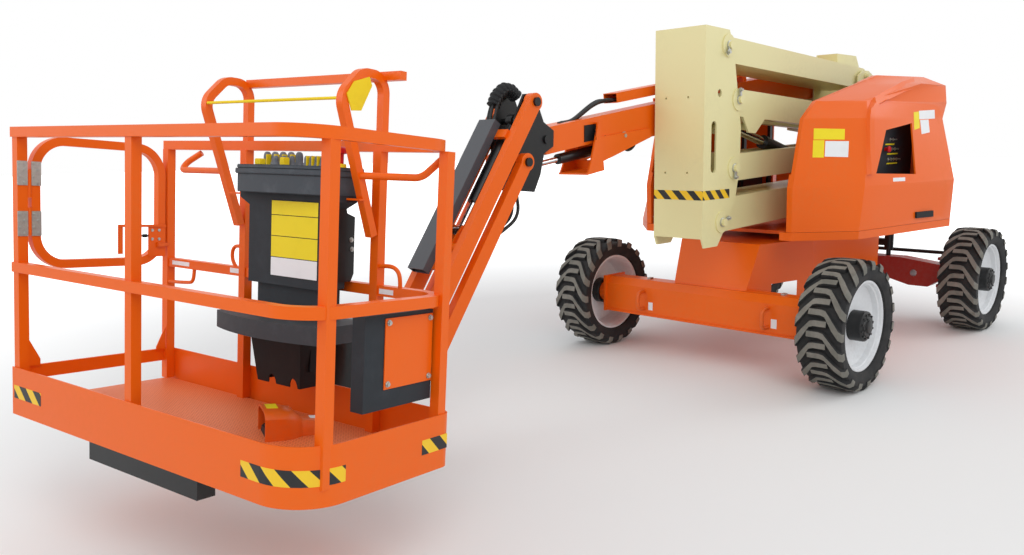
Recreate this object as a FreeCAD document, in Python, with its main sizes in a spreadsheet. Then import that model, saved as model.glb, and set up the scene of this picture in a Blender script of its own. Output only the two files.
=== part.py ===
import FreeCAD, Part
import math
import os
import Sketcher

# An articulating boom lift, in millimetres. X points ahead over the working platform, Y to the
# machine's left and Z up. The slew axis stands at X = 0, Y = 0 while the pieces are drawn, and every
# finished piece is then moved so that the origin lies on the ground under the middle of the machine.

V = FreeCAD.Vector
os.makedirs("parts", exist_ok=True)
doc = FreeCAD.newDocument("BoomLift")
sheet = doc.addObject("Spreadsheet::Sheet", "Sizes")

# lengths in millimetres, angles in degrees
SIZES = {
    "originx": 1982.6,
    "originy": 0,
    "wheelbase": 2440,
    "overallwidth": 2340,
    "tyreradius": 427,
    "tyrewidth": 310,
    "sidewallheight": 131,
    "tyrecrown": 22,
    "shoulderdrop": 40,
    "rimwall": 14,
    "rimlip": 22,
    "rimwellradius": 235,
    "discthick": 16,
    "discoffset": 60,
    "hubradius": 98,
    "hublength": 150,
    "hubbearing": 60,
    "beamlength": 1810,
    "beamdepth": 220,
    "beamheight": 260,
    "beambottom": 305,
    "beambevel": 50,
    "flangethick": 20,
    "flangegrow": 14,
    "lugring": 55,
    "lugwire": 14,
    "lugspread": 1040,
    "frametop": 885,
    "framewall": 12,
    "framenose": 600,
    "framewide": 900,
    "framerear": 620,
    "frameflare": 560,
    "noserise": 130,
    "neckwide": 300,
    "neckbottom": 470,
    "necktop": 760,
    "steerbeamlength": 1440,
    "steerbeamdepth": 150,
    "steerbeammid": 170,
    "steerbeamend": 220,
    "steerbeamcentre": 455,
    "steerbeamhole": 60,
    "kingpin": 790,
    "kingpinradius": 28,
    "sleeveradius": 45,
    "sleeveheight": 200,
    "knucklewide": 100,
    "knuckleout": 75,
    "earthick": 24,
    "knucklegap": 6,
    "steerarm": 190,
    "steerarmwide": 60,
    "steerarminward": 70,
    "tierodradius": 16,
    "tierodback": 170,
    "lockradius": 38,
    "lockrod": 20,
    "locklength": 190,
    "lockspread": 300,
    "slewradius": 400,
    "slewheight": 49.7,
    "deckbottom": 935,
    "deckthick": 25,
    "rimhigh": 55,
    "rimwallthick": 12,
    "decklength": 1700,
    "deckrear": 860,
    "deckwidth": 1060,
        "hingedrop": 20,
    "masttop": 1600,
    "mastplate": 14,
    "mastfoot": 620,
    "enginelength": 780,
    "enginewidth": 330,
    "engineheight": 480,
    "enginecentre": 110,
    "engineside": 905,
    "tailradius": 1130,
    "tailinner": 880,
    "tailtop": 1480,
    "tailspread": 76,
    "hoodwall": 12,
    "hoodlip": 992.3,
    "hoodline": 1290,
    "hoodknee": 1750,
    "hoodshoulder": 1868,
    "hoodcrest": 2005,
    "hoodtop": 2080,
    "hoodinner": 560,
    "hoodgap": 6,
    "hoodhinge": 14,
    "hingerear": 600,
    "hingefront": 80,
    "controlrear": 10,
    "controlwide": 530,
    "controlhigh": 340,
    "controlthick": 60,
    "controlface": 790,
    "controlfoot": 1340,
    "towercentre": 125,
    "towerwidth": 380,
    "towerplate": 12,
    "towergap": 13,
    "armlength": 2100,
    "lowerdroop": 2,
    "upperdroop": 3,
    "pinonex": 1574,
    "pinonez": 2219,
    "pintwox": 1437,
    "pintwoz": 1880,
    "pinthreex": 1475,
    "pinthreez": 1433,
    "pinfourx": 1610,
    "pinfourz": 1082,
    "pinradius": 25,
    "pinproud": 34,
    "bossradius": 72,
    "bossproud": 8,
    "armboss": 62,
    "uprightfront": 1838,
    "uprighttop": 2328,
    "uprightfoot": 925,
    "lidback": 42,
    "slotwide": 60,
    "slothigh": 330,
    "slotx": 1722,
    "slotz": 1574,
    "faceholey": 107,
    "faceholez": 1652,
    "faceholewide": 170,
    "faceholehigh": 480,
    "faceholeradius": 7,
    "portradius": 24,
    "portx": 1663,
    "portz": 1917,
    "boomonetop": 64,
    "boomonebottom": 99,
    "boomtwotop": 74,
    "boomtwobottom": 104,
    "boomthreetop": 90,
    "boomthreebottom": 90,
    "boomfourtop": 152,
    "boomfourbottom": 72,
    "linkwide": 75,
    "topboomwide": 300,
    "towerlugx": 1199,
    "towerlugz": 1708,
    "towerbarrelx": 250,
    "towerbarrelz": 50,
    "towercylradius": 50,
    "towerrodradius": 32,
    "towereye": 60,
    "ramspare": 20,
    "levelstroke": 245,
    "clevisgap": 5,
    "boomcentre": -170,
    "pivotx": -650,
    "pivotz": 2125,
    "boomslope": 8.3,
    "baseback": 130,
    "baselength": 2250,
    "padlength": 90,
    "padgap": 0.3,
    "basetop": 114,
    "basebottom": 132,
    "basewide": 186,
    "flystart": 700,
    "flytop": 95,
    "flybottom": 113,
    "flywide": 150,
    "flyend": 2880,
    "nosebottom": 60,
    "noseradius": 62,
    "nosepivotx": 2880,
    "nosepivotz": 1640,
    "cheekstart": 2550,
    "cheekend": 3095,
    "cheekdrop": 190,
    "cheekthick": 12,
    "guardend": 3260,
    "guarddrop": 235,
    "guardwide": 236,
    "traystart": 250,
    "trayend": 2830,
    "traybottom": 150,
    "trayheight": 62,
    "traywide": 110,
    "traywall": 5,
    "liftfootx": -430,
    "liftfootz": 1760,
    "lifteyex": 1050,
    "lifteyedrop": 52,
    "lifteye": 60,
    "liftradius": 45,
    "liftrodradius": 28,
    "uppertopz": 2300,
    "upperfootz": 1660,
    "upperrearx": -840,
    "upperfrontx": -380,
    "outerplate": 14,
    "headtop": 2300,
    "headbottom": 2190,
    "headleft": 112,
    "headright": -54,
    "leftplatetop": 45,
    "levelbackx": 2950,
    "levelbackz": -118,
    "levelradius": 32,
    "levelrodradius": 17,
    "levelpinx": 2974,
    "levelpinz": 1480,
    "levelpinradius": 16,
    "leveleye": 36,
    "leveleyeradius": 30,
    "bracketinner": 156,
    "bracketplate": 15,
    "jibtopx": 3020,
    "jibtopz": 1850,
    "jibfootx": 3092,
    "jibfootz": 1516,
    "jibslope": 55,
    "jiblength": 1300,
    "jibtube": 50,
    "jibupperdeep": 90,
    "jiblowerdeep": 80,
    "jibboss": 50,
    "jibgap": 6,
    "jibcylradius": 40,
    "jibrodradius": 22,
    "jibrootlength": 110,
    "jibpinradius": 18,
    "jibeye": 46,
    "jibrootangle": 70,
    "jibeyex": 850,
    "jibeyez": -25,
    "coverstart": 190,
    "coverend": 1150,
    "coverwide": 132,
    "coverhigh": 50,
    "coverbottom": 60,
    "coverwall": 5,
    "covershift": -45,
    "carrierx": 4300,
    "carrierz": 379,
    "rotorradius": 88,
    "rotorheight": 300,
    "rotorbottom": 60,
    "platformyaw": 10.3,
    "platformtilt": 5.2,
    "platformgap": 437,
    "platformdepth": 760,
    "platformwidth": 1840,
    "platformshift": 137,
    "toeboard": 208,
    "toewall": 6,
    "toecorner": 190,
    "toerear": 50,
    "floorheight": 60,
    "floorthick": 22,
    "floorgap": 2,
    "railsquare": 42,
    "railtop": 1236,
    "midrail": 643,
    "railcorner": 160,
    "frontpost": -43,
    "sidepost": 633,
    "rearpostleft": -298,
    "cornerpost": 36,
    "rearpostright": 526,
    "gatelow": 650,
    "gatehigh": 1191,
    "gatecorner": 130,
    "gatetube": 38,
    "gategap": 8,
    "knuckleradius": 9,
    "gatehingehigh": 120,
    "hooptop": 1487,
    "tubebeyond": 104,
    "cabledrop": 8,
    "hoopreach": 185,
    "hoopdrop": 100,
    "hooproot": 860,
    "hooptube": 34,
    "hoopcorner": 70,
    "cableradius": 6,
    "underhigh": 70,
    "underwide": 90,
    "channelwide": 75,
    "channelstart": -165,
    "channellength": 700,
    "consolecentre": 195,
    "consolewide": 430,
    "consolerear": 530,
    "consolefront": 665,
    "consolebottom": 640,
    "consoleshoulder": 960,
    "consoleflare": 60,
    "lidbottom": 1012,
    "lidtop": 1122,
    "lidwide": 526,
    "lidrear": 486.5,
    "lidfront": 690,
    "lidbow": 28,
    "consoleneck": 380,
    "shelfwide": 640,
    "shelffront": 741,
    "shelfbow": 60,
    "shelftop": 511,
    "shelfthick": 71,
    "boxwide": 307,
    "boxrear": 520,
    "boxfront": 700,
    "boxbottom": 233,
    "boxtaper": 24,
    "handletube": 14,
    "handlegrip": 1095,
    "handlereach": 750,
    "handlejoin": 640,
    "handledrop": 14,
    "handleright": 855,
    "pedallong": 200,
    "pedalwide": 165,
    "pedalhigh": 130,
    "pedalx": 700,
    "pedaly": 375,
    "bookrear": 87,
    "bookwide": 357,
    "bookdeep": 60,
    "bookbottom": 270,
    "booktop": 610,
}


class Dim:
    """A number that keeps the formula it came from."""

    def __init__(self, value, text):
        self.value = value
        self.text = text

    def __add__(self, other):
        other = dim(other)
        return Dim(self.value + other.value, f"({self.text} + {other.text})")

    def __sub__(self, other):
        other = dim(other)
        return Dim(self.value - other.value, f"({self.text} - {other.text})")

    def __mul__(self, other):
        other = dim(other)
        return Dim(self.value * other.value, f"({self.text} * {other.text})")

    def __truediv__(self, other):
        other = dim(other)
        return Dim(self.value / other.value, f"({self.text} / {other.text})")

    def __neg__(self):
        return Dim(-self.value, f"(-{self.text})")

    def __radd__(self, other):
        return dim(other) + self

    def __rsub__(self, other):
        return dim(other) - self

    def __rmul__(self, other):
        return dim(other) * self

    def __float__(self):
        return float(self.value)


def dim(value):
    if isinstance(value, Dim):
        return value
    return Dim(float(value), repr(float(value)) if value >= 0 else f"({float(value)!r})")


def sine(angle):
    angle = dim(angle)
    return Dim(math.sin(math.radians(angle.value)), f"sin({angle.text})")


def cosine(angle):
    angle = dim(angle)
    return Dim(math.cos(math.radians(angle.value)), f"cos({angle.text})")


class Sheet:
    """Every driving size by its word, read back from the spreadsheet."""


s = Sheet()
for row, (word, number) in enumerate(SIZES.items(), start=1):
    sheet.set(f"A{row}", word)
    sheet.set(f"B{row}", str(number))
    sheet.setAlias(f"B{row}", word)
    setattr(s, word, Dim(float(number), f"Sizes.{word}"))
doc.recompute()

nodes = []
starts = {}


def bind(obj, path, value):
    obj.setExpression(path, dim(value).text)


def put(obj, x=0, y=0, z=0, pitch=None):
    """Place an object, tipped nose down by pitch degrees, with its place bound to the sizes."""
    starts.pop(obj.Name, None)
    angle = dim(pitch).value if pitch is not None else 0
    obj.Placement = FreeCAD.Placement(V(float(x), float(y), float(z)), FreeCAD.Rotation(V(0, 1, 0), angle))
    for axis, value in (("x", x), ("y", y), ("z", z)):
        if isinstance(value, Dim):
            bind(obj, f"Placement.Base.{axis}", value)
    if isinstance(pitch, Dim):
        bind(obj, "Placement.Rotation.Pitch", pitch)
    return obj


def box(name, x, y, z):
    """A block between pairs of limits along X, Y and Z."""
    obj = doc.addObject("Part::Box", name)
    for side, (low, high) in (("Length", x), ("Width", y), ("Height", z)):
        setattr(obj, side, float(dim(high) - low))
        bind(obj, side, dim(high) - low)
    put(obj, dim(x[0]), dim(y[0]), dim(z[0]))
    starts[obj.Name] = (x[0], y[0], z[0])
    return obj


TURNS = {"x": (V(0, 1, 0), 90), "y": (V(1, 0, 0), -90), "z": (V(0, 0, 1), 0)}


def rod(name, axis, radius, start, length):
    """A round bar from its start point, along an axis."""
    obj = doc.addObject("Part::Cylinder", name)
    obj.Radius = float(radius)
    obj.Height = float(length)
    bind(obj, "Radius", radius)
    bind(obj, "Height", length)
    obj.Placement = FreeCAD.Placement(V(*map(float, start)), FreeCAD.Rotation(*TURNS[axis]))
    starts[obj.Name] = start
    for letter, value in zip("xyz", start):
        bind(obj, f"Placement.Base.{letter}", value)
    return obj


FACES = {
    "xy": (FreeCAD.Rotation(), V(0, 0, 1)),
    "xz": (FreeCAD.Rotation(V(1, 0, 0), 90), V(0, 1, 0)),
    "yz": (FreeCAD.Rotation(V(1, 1, 1), 120), V(1, 0, 0)),
}


def outline(name, plane, corners, start):
    """A closed sketch of straight lines whose corners are bound to the sizes."""
    sketch = doc.addObject("Sketcher::SketchObject", name)
    count = len(corners)
    points = [V(float(a), float(b), 0) for a, b in corners]
    sketch.addGeometry([Part.LineSegment(points[i], points[(i + 1) % count]) for i in range(count)], False)
    joins = [Sketcher.Constraint("Coincident", i, 2, (i + 1) % count, 1) for i in range(count)]
    for i, point in enumerate(points):
        joins.append(Sketcher.Constraint("DistanceX", -1, 1, i, 1, point.x))
        joins.append(Sketcher.Constraint("DistanceY", -1, 1, i, 1, point.y))
    sketch.addConstraint(joins)
    for i, (a, b) in enumerate(corners):
        for k, (letter, value) in enumerate((("across", a), ("up", b))):
            sketch.renameConstraint(count + 2 * i + k, f"{letter}{i}")
            if isinstance(value, Dim):
                sketch.setExpression(f"Constraints.{letter}{i}", value.text)
    turn, normal = FACES[plane]
    sketch.Placement = FreeCAD.Placement(normal * float(start), turn)
    letter = {"xy": "z", "xz": "y", "yz": "x"}[plane]
    bind(sketch, f"Placement.Base.{letter}", start)
    return sketch


def plate(name, plane, corners, start, thick):
    """A flat outline in a plane, pushed out along the plane's axis."""
    sketch = outline(name + "Outline", plane, corners, start)
    obj = doc.addObject("Part::Extrusion", name)
    obj.Base = sketch
    obj.DirMode = "Custom"
    obj.Dir = FACES[plane][1]
    obj.Solid = True
    obj.LengthFwd = float(dim(thick))
    bind(obj, "LengthFwd", thick)
    return obj


def spin(name, corners):
    """An outline of (radius, along Y) turned once about the Y axis."""
    sketch = outline(name + "Outline", "xy", corners, 0)
    obj = doc.addObject("Part::Revolution", name)
    obj.Source = sketch
    obj.Axis = V(0, 1, 0)
    obj.Base = V(0, 0, 0)
    obj.Angle = 360
    obj.Solid = True
    return obj


def fuse(name, pieces):
    if len(pieces) == 1:
        return pieces[0]
    obj = doc.addObject("Part::MultiFuse", name)
    obj.Shapes = pieces
    return obj


def cut(name, base, tools):
    obj = doc.addObject("Part::Cut", name)
    obj.Base = base
    obj.Tool = tools[0] if len(tools) == 1 else fuse(name + "Tools", tools)
    return obj


def feature(name, shape):
    """A shape made by sweeping or lofting, read from the sizes."""
    obj = doc.addObject("Part::Feature", name)
    obj.Shape = shape
    return obj


def node(label, obj, x=0, y=0, z=0, pitch=None):
    """Finish a sub-part: its name, and its place in the machine."""
    own = starts.get(obj.Name, (0, 0, 0))
    place = (dim(x) + own[0] - s.originx, dim(y) + own[1] - s.originy, dim(z) + own[2])
    if pitch is None:
        obj.Placement.Base = V(*map(float, place))
        for letter, value in zip("xyz", place):
            bind(obj, f"Placement.Base.{letter}", value)
    else:
        put(obj, *place, pitch)
    obj.Label = label
    nodes.append(obj)
    return obj


def pair(name, centre, inner, thick, make):
    """Two like plates on either side of a centre plane, inner apart."""
    left = make(name + "Left", dim(centre) + dim(inner) / 2, thick)
    right = make(name + "Right", dim(centre) - dim(inner) / 2 - thick, thick)
    return [left, right]


# Wheels

def wheel_profile():
    r = s.tyreradius
    w = s.tyrewidth / 2
    rim = r - s.sidewallheight
    return [(rim, -w + s.shoulderdrop), (r - s.shoulderdrop, -w), (r - s.tyrecrown, -w + s.shoulderdrop / 2),
            (r, -w + s.shoulderdrop), (r, w - s.shoulderdrop), (r - s.tyrecrown, w - s.shoulderdrop / 2),
            (r - s.shoulderdrop, w), (rim, w - s.shoulderdrop)]


def rim_profile(side):
    rim = s.tyreradius - s.sidewallheight
    w = s.tyrewidth / 2 - s.shoulderdrop + 6
    disc = s.discoffset
    well = s.rimwellradius
    return [(rim - 0.3, -w), (rim - 0.3, w), (rim - s.rimwall, w), (rim - s.rimlip, w - 30), (well, disc + 40),
            (well, disc + s.discthick), (s.hubradius, disc + s.discthick), (s.hubradius, disc),
            (well - s.rimwall, disc), (well - s.rimwall, -w + 40), (rim - s.rimwall, -w)]


def wheels():
    axle = s.wheelbase / 2
    centre = s.overallwidth / 2 - s.tyrewidth / 2
    # name, place along X, side, distance from the wheel's centre to its bearing
    for name, x, side in (("fixed_left", axle, 1), ("fixed_right", axle, -1),
                          ("steer_left", -axle, 1), ("steer_right", -axle, -1)):
        tyre = spin(name + "Tyre", wheel_profile())
        node("tyre_" + name, tyre, x, centre * side, s.tyreradius)
        profile = [(a, dim(b) * side) for a, b in rim_profile(side)]
        rim = spin(name + "Rim", profile)
        outer = s.discoffset + s.discthick + s.hubbearing
        inner = s.discoffset - s.hublength + s.hubbearing
        hub = rod(name + "Hub", "y", s.hubradius, (0, inner if side > 0 else -outer, 0), outer - inner)
        cap = rod(name + "Cap", "y", s.hubradius * 0.7, (0, outer if side > 0 else -outer - 25, 0), 25)
        node("wheel_" + name, fuse(name + "Wheel", [rim, hub, cap]), x, centre * side, s.tyreradius)


# Chassis

def chassis():
    axle = s.wheelbase / 2
    half = s.beamlength / 2
    top = s.beambottom + s.beamheight
    front = axle + s.beamdepth / 2
    rear = axle - s.beamdepth / 2
    beam = plate("Beam", "xz", [(front, s.beambottom), (front, top - s.beambevel), (front - s.beambevel, top),
                                (rear + s.beambevel, top), (rear, top - s.beambevel), (rear, s.beambottom)],
                 -half, s.beamlength)
    pieces = [beam]
    for side in (-1, 1):
        y = half - s.flangethick if side > 0 else -half
        pieces.append(box("Flange", (rear - s.flangegrow, front + s.flangegrow), (y, y + s.flangethick),
                          (s.beambottom - s.flangegrow, top + s.flangegrow / 2)))
        stub = s.overallwidth / 2 - s.tyrewidth / 2 - half + s.discoffset - s.hublength + s.hubbearing - 0.3
        pieces.append(rod("Stub", "y", s.hubradius * 0.8, (axle, half if side > 0 else -half - stub, s.tyreradius), stub))
    nose = s.framenose / 2
    wide = s.framewide / 2
    base = axle + s.beambevel / 2
    body = plate("Body", "xy", [(base, -nose), (base, nose), (base - s.noserise - s.frameflare, wide),
                                (-s.framerear, wide), (-s.framerear, -wide), (base - s.noserise - s.frameflare, -wide)],
                 s.neckbottom, s.frametop - s.neckbottom)
    slope = plate("NoseCut", "xz", [(base - s.noserise, s.frametop + 1), (base + s.beamdepth, s.frametop + 1),
                                    (base + s.beamdepth, top), (base, top)], -wide, s.framewide)
    belly = box("Belly", (-s.framerear - 1, rear - 120), (-wide + s.framewall * 3, wide - s.framewall * 3),
                (s.neckbottom - 1, s.neckbottom + 120))
    pieces.append(cut("FrameBox", body, [slope, belly]))
    neck = box("Neck", (-axle - s.steerbeamdepth / 2 - 70, -s.framerear), (-s.neckwide / 2, s.neckwide / 2),
               (s.steerbeamcentre + s.steerbeammid / 2 + 30, s.necktop))
    pieces.append(neck)
    trunnion = box("Trunnion", (-axle + s.steerbeamdepth / 2 + 6, -axle + s.steerbeamdepth / 2 + 46),
                   (-60, 60), (s.steerbeamcentre - 60, s.steerbeamcentre + s.steerbeammid / 2 + 31))
    pieces.append(trunnion)
    node("chassis_frame", fuse("Chassis", pieces))


def tie_down_lugs():
    front = s.wheelbase / 2 + s.beamdepth / 2
    pieces = []
    for side in (-1, 1):
        ring = doc.addObject("Part::Torus", "LugRing")
        ring.Radius1 = float(s.lugring)
        ring.Radius2 = float(s.lugwire)
        bind(ring, "Radius1", s.lugring)
        bind(ring, "Radius2", s.lugwire)
        ring.Angle3 = 180
        ring.Placement = FreeCAD.Placement(V(float(front) + 0.3, side * float(s.lugspread) / 2, float(s.beambottom + s.beamheight / 2 - 20)),
                                           FreeCAD.Rotation(V(1, 0, 0), V(0, 0, 1), V(0, -1, 0), "XYZ").multiply(FreeCAD.Rotation(V(0, 0, 1), -90)))
        pieces.append(ring)
    node("tie_down_lugs", fuse("Lugs", pieces))


def steer_axle():
    axle = s.wheelbase / 2
    half = s.kingpin - s.sleeveradius / 2
    z = s.steerbeamcentre
    mid = s.steerbeammid / 2
    low = s.steerbeamend / 2 + 20
    under = [(half, z - 70), (half - 90, z - low), (half - 250, z - low), (half - 420, z - mid)]
    over = [(half, z + 70), (half - 330, z + mid + 25)]
    outer = [(-y, h) for y, h in under] + under[::-1] + over + [(-y, h) for y, h in over[::-1]]
    body = plate("SteerBody", "yz", outer, -axle - s.steerbeamdepth / 2, s.steerbeamdepth)
    holes = []
    sleeves = []
    for side in (-1, 1):
        holes.append(rod("SteerHole", "x", s.steerbeamhole / 2, (-axle - s.steerbeamdepth, side * half * 0.72, z - 20), s.steerbeamdepth * 2))
        holes.append(rod("KingBore", "z", s.kingpinradius + 0.05, (-axle, s.kingpin * side, z - s.steerbeamend), s.steerbeamend * 2))
        sleeves.append(rod("KingSleeve", "z", s.sleeveradius, (-axle, s.kingpin * side, z - s.sleeveheight / 2), s.sleeveheight))
    node("steer_axle", cut("SteerAxle", fuse("SteerSolid", [body] + sleeves), holes))


def knuckles():
    axle = s.wheelbase / 2
    z = s.steerbeamcentre
    centre = s.overallwidth / 2 - s.tyrewidth / 2
    ear = s.sleeveheight / 2 + s.knucklegap
    for name, side in (("left", 1), ("right", -1)):
        def span(low, high, side=side):
            """Limits across, measured outwards from the king pin."""
            return (s.kingpin + low, s.kingpin + high) if side > 0 else (-s.kingpin - high, -s.kingpin - low)
        half = s.knucklewide / 2
        deep = (-axle - half, -axle + half)
        pieces = [rod("KingPin" + name, "z", s.kingpinradius, (-axle, s.kingpin * side, z - ear - 1), ear * 2 + 2)]
        pieces.append(box("EarLow" + name, deep, span(-half, s.knuckleout), (z - ear - s.earthick, z - ear)))
        pieces.append(box("EarHigh" + name, deep, span(-half, s.knuckleout), (z + ear, z + ear + s.earthick)))
        pieces.append(box("EarFace" + name, deep, span(s.sleeveradius + s.knucklegap, s.knuckleout), (z - ear - 1, z + ear + 1)))
        start = s.kingpin + s.knuckleout - 2
        reach = centre + s.discoffset - s.hublength + s.hubbearing - 0.3 - start
        pieces.append(rod("Spindle" + name, "y", s.hubradius * 0.8, (-axle, start if side > 0 else -start - reach, s.tyreradius), reach))
        y = s.kingpin * side
        inward = s.steerarminward * side
        wide = s.steerarmwide / 2
        corners = [(-axle, y - wide), (-axle, y + wide), (-axle - s.steerarm, y + wide - inward), (-axle - s.steerarm, y - wide - inward)]
        pieces.append(plate("SteerArm" + name, "xy", corners, z + ear, s.earthick))
        node("knuckle_" + name, fuse("Knuckle" + name, pieces))
    span = (s.kingpin - s.steerarminward) * 2 + 50
    link = rod("TieRod", "y", s.tierodradius, (-axle - s.tierodback, -span / 2, z + ear + s.earthick + s.tierodradius + 0.3), span)
    node("tie_rod", link)


def lockout_cylinders():
    axle = s.wheelbase / 2
    pieces = []
    for side in (-1, 1):
        y = s.lockspread * side
        bottom = s.steerbeamcentre + s.steerbeammid / 2 + 25
        pieces.append(rod("LockRod", "z", s.lockrod, (-axle, y, bottom + 0.3), 60))
        pieces.append(rod("LockBarrel", "z", s.lockradius, (-axle, y, bottom + 55), s.locklength))
        pieces.append(box("LockArm", (-axle - 40, -axle + 40), (s.neckwide / 2 if side > 0 else y, y if side > 0 else -s.neckwide / 2),
                          (bottom + 90, bottom + 150)))
    node("lockout_cylinders", fuse("Lockout", pieces))


# Turntable

# plan of the hood on the left side at each height: inner front, outer front, outer rear, tail outer, tail
# inner, each as x, y
HOOD_LEVELS = {
    "hoodlip": ((1190, 600), (835, 905), (-430, 1062), (-695, 915), (-670, 600)),
    "hoodline": ((1200, 600), (745, 892), (-440, 1070), (-700, 915), (-670, 600)),
    "hoodknee": ((1080, 600), (620, 838), (-520, 930), (-690, 800), (-660, 600)),
    "hoodshoulder": ((914, 600), (564, 800), (-600, 925), (-700, 790), (-650, 600)),
    "hoodcrest": ((270, 600), (-160, 890), (-630, 900), (-690, 780), (-640, 600)),
    "hoodtop": ((-60, 600), (-560, 720), (-630, 730), (-650, 700), (-630, 600)),
}
# the window in the left hood, as x, z
HOOD_WINDOW = ((78, 1349), (590, 1371), (390, 1667), (-5, 1716))


def inset(points, wall):
    """Plan points moved inwards by the wall, for a plan that runs anticlockwise seen from above."""
    result = []
    count = len(points)
    for i in range(count):
        before, here, after = points[i - 1], points[i], points[(i + 1) % count]
        lines = []
        for a, b in ((before, here), (here, after)):
            dx, dy = b[0] - a[0], b[1] - a[1]
            size = math.hypot(dx, dy)
            lines.append((-dy / size, dx / size, (-dy * a[0] + dx * a[1]) / size + wall))
        (a1, b1, c1), (a2, b2, c2) = lines
        det = a1 * b2 - a2 * b1
        result.append(((c1 * b2 - c2 * b1) / det, (a1 * c2 - a2 * c1) / det))
    return result


def turntable():
    ring = rod("SlewRing", "z", s.slewradius, (0, 0, s.frametop), s.slewheight)
    node("slew_ring", ring)
    half = s.deckwidth / 2
    top = s.deckbottom + s.deckthick
    pieces = [box("Deck", (-s.deckrear, s.decklength - s.deckrear), (-half, half), (s.deckbottom, top))]
    rim = HOOD_LEVELS["hoodlip"]
    inner = s.deckwidth / 2 - 20
    for side in (-1, 1):
        plan = [(rim[0][0], inner)] + [corner for corner in rim] + [(rim[-1][0], inner)]
        plan = plan[::side]
        tray = plate("Tray", "xy", [(x, dim(y) * side) for x, y in plan], s.deckbottom, s.rimhigh)
        room = inset([(float(x), float(y)) for x, y in (plan if side > 0 else plan[::-1])], float(s.rimwallthick))
        hollow = plate("TrayHollow", "xy", [(x, y * side) for x, y in room], top, s.rimhigh)
        pieces.append(cut("TrayCut", tray, [hollow]))
    node("turntable_deck", fuse("TurntableDeck", pieces))
    hinge = s.hoodtop - s.hingedrop
    rails = []
    for side in (-1, 1):
        y = (s.hoodinner - s.hoodhinge - 0.3) * side
        rails.append(rod("HoodTube", "x", s.hoodhinge, (-s.hingerear, y, hinge), s.hingerear - s.hingefront))
        for x in (-s.hingerear + 20, -s.hingefront - 60):
            rails.append(box("HoodPost", (x, x + 40), (y - s.hoodhinge, y + s.hoodhinge), (top + 0.3, hinge)))
    node("hood_rails", fuse("HoodRails", rails))
    yt = s.towercentre
    inner = s.towerwidth - 2 * s.mastplate
    lower = s.lowerdroop
    fourx = s.pinfourx - s.armlength * cosine(lower)
    fourz = s.pinfourz + s.armlength * sine(lower)
    threex = s.pinthreex - s.armlength * cosine(lower)
    threez = s.pinthreez + s.armlength * sine(lower)
    foot = top + 0.3
    corners = [(fourx + s.mastfoot / 2, foot), (fourx + 95, fourz + 40), (threex + 85, threez + 40), (threex + 40, s.masttop),
               (threex - 60, s.masttop), (threex - 95, threez), (fourx - 190, foot)]
    pieces = pair("Mast", yt, inner, s.mastplate, lambda n, y, t: plate(n, "xz", corners, y, t))
    for name, px, pz in (("Four", fourx, fourz), ("Three", threex, threez)):
        pieces += pair("MastPin" + name, yt, inner - 2 * 30, 30 + s.mastplate + s.pinproud,
                       lambda n, y, t, px=px, pz=pz: rod(n, "y", s.pinradius, (px, y, pz), t))
    node("tower_mast", fuse("TowerMast", pieces))
    low = top + 0.3
    engine = box("Engine", (-s.enginecentre - s.enginelength / 2, -s.enginecentre + s.enginelength / 2),
                 (-s.engineside, -s.engineside + s.enginewidth), (low, low + s.engineheight))
    node("engine_block", engine)


def arc_slab(name, outer, inner, low, high, start, end):
    """A curved slab between two radii about the slew axis."""
    points = []
    for radius, first, last in ((outer, start, end), (inner, end, start)):
        middle = (first + last) / 2
        points.append([V(float(radius) * math.cos(math.radians(a)), float(radius) * math.sin(math.radians(a)), float(low))
                       for a in (first, middle, last)])
    edges = [Part.Arc(*points[0]).toShape(), Part.LineSegment(points[0][2], points[1][0]).toShape(),
             Part.Arc(*points[1]).toShape(), Part.LineSegment(points[1][2], points[0][0]).toShape()]
    return feature(name, Part.Face(Part.Wire(edges)).extrude(V(0, 0, float(high - low))))


def counterweight():
    spread = float(s.tailspread) / 2
    low = s.deckbottom + s.deckthick + 0.3
    slab = arc_slab("Tail", s.tailradius, s.tailinner, low, s.tailtop, 180 - spread, 180 + spread)
    node("counterweight", slab)


def hood_loft(side, wall, top_drop):
    inner = float(s.hoodinner)
    sections = []
    words = list(HOOD_LEVELS)
    for word in words:
        corners = HOOD_LEVELS[word]
        plan = [(corners[0][0], inner)] + list(corners) + [(corners[-1][0], inner)]
        if wall:
            plan = inset(plan, wall)
        z = float(getattr(s, word))
        if wall and word == words[0]:
            z -= 1
        if wall and word == words[-1]:
            z -= top_drop
        points = [V(x, side * y, z) for x, y in plan]
        sections.append(Part.makePolygon(points + points[:1]))
    return Part.makeLoft(sections, True, True)


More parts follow.
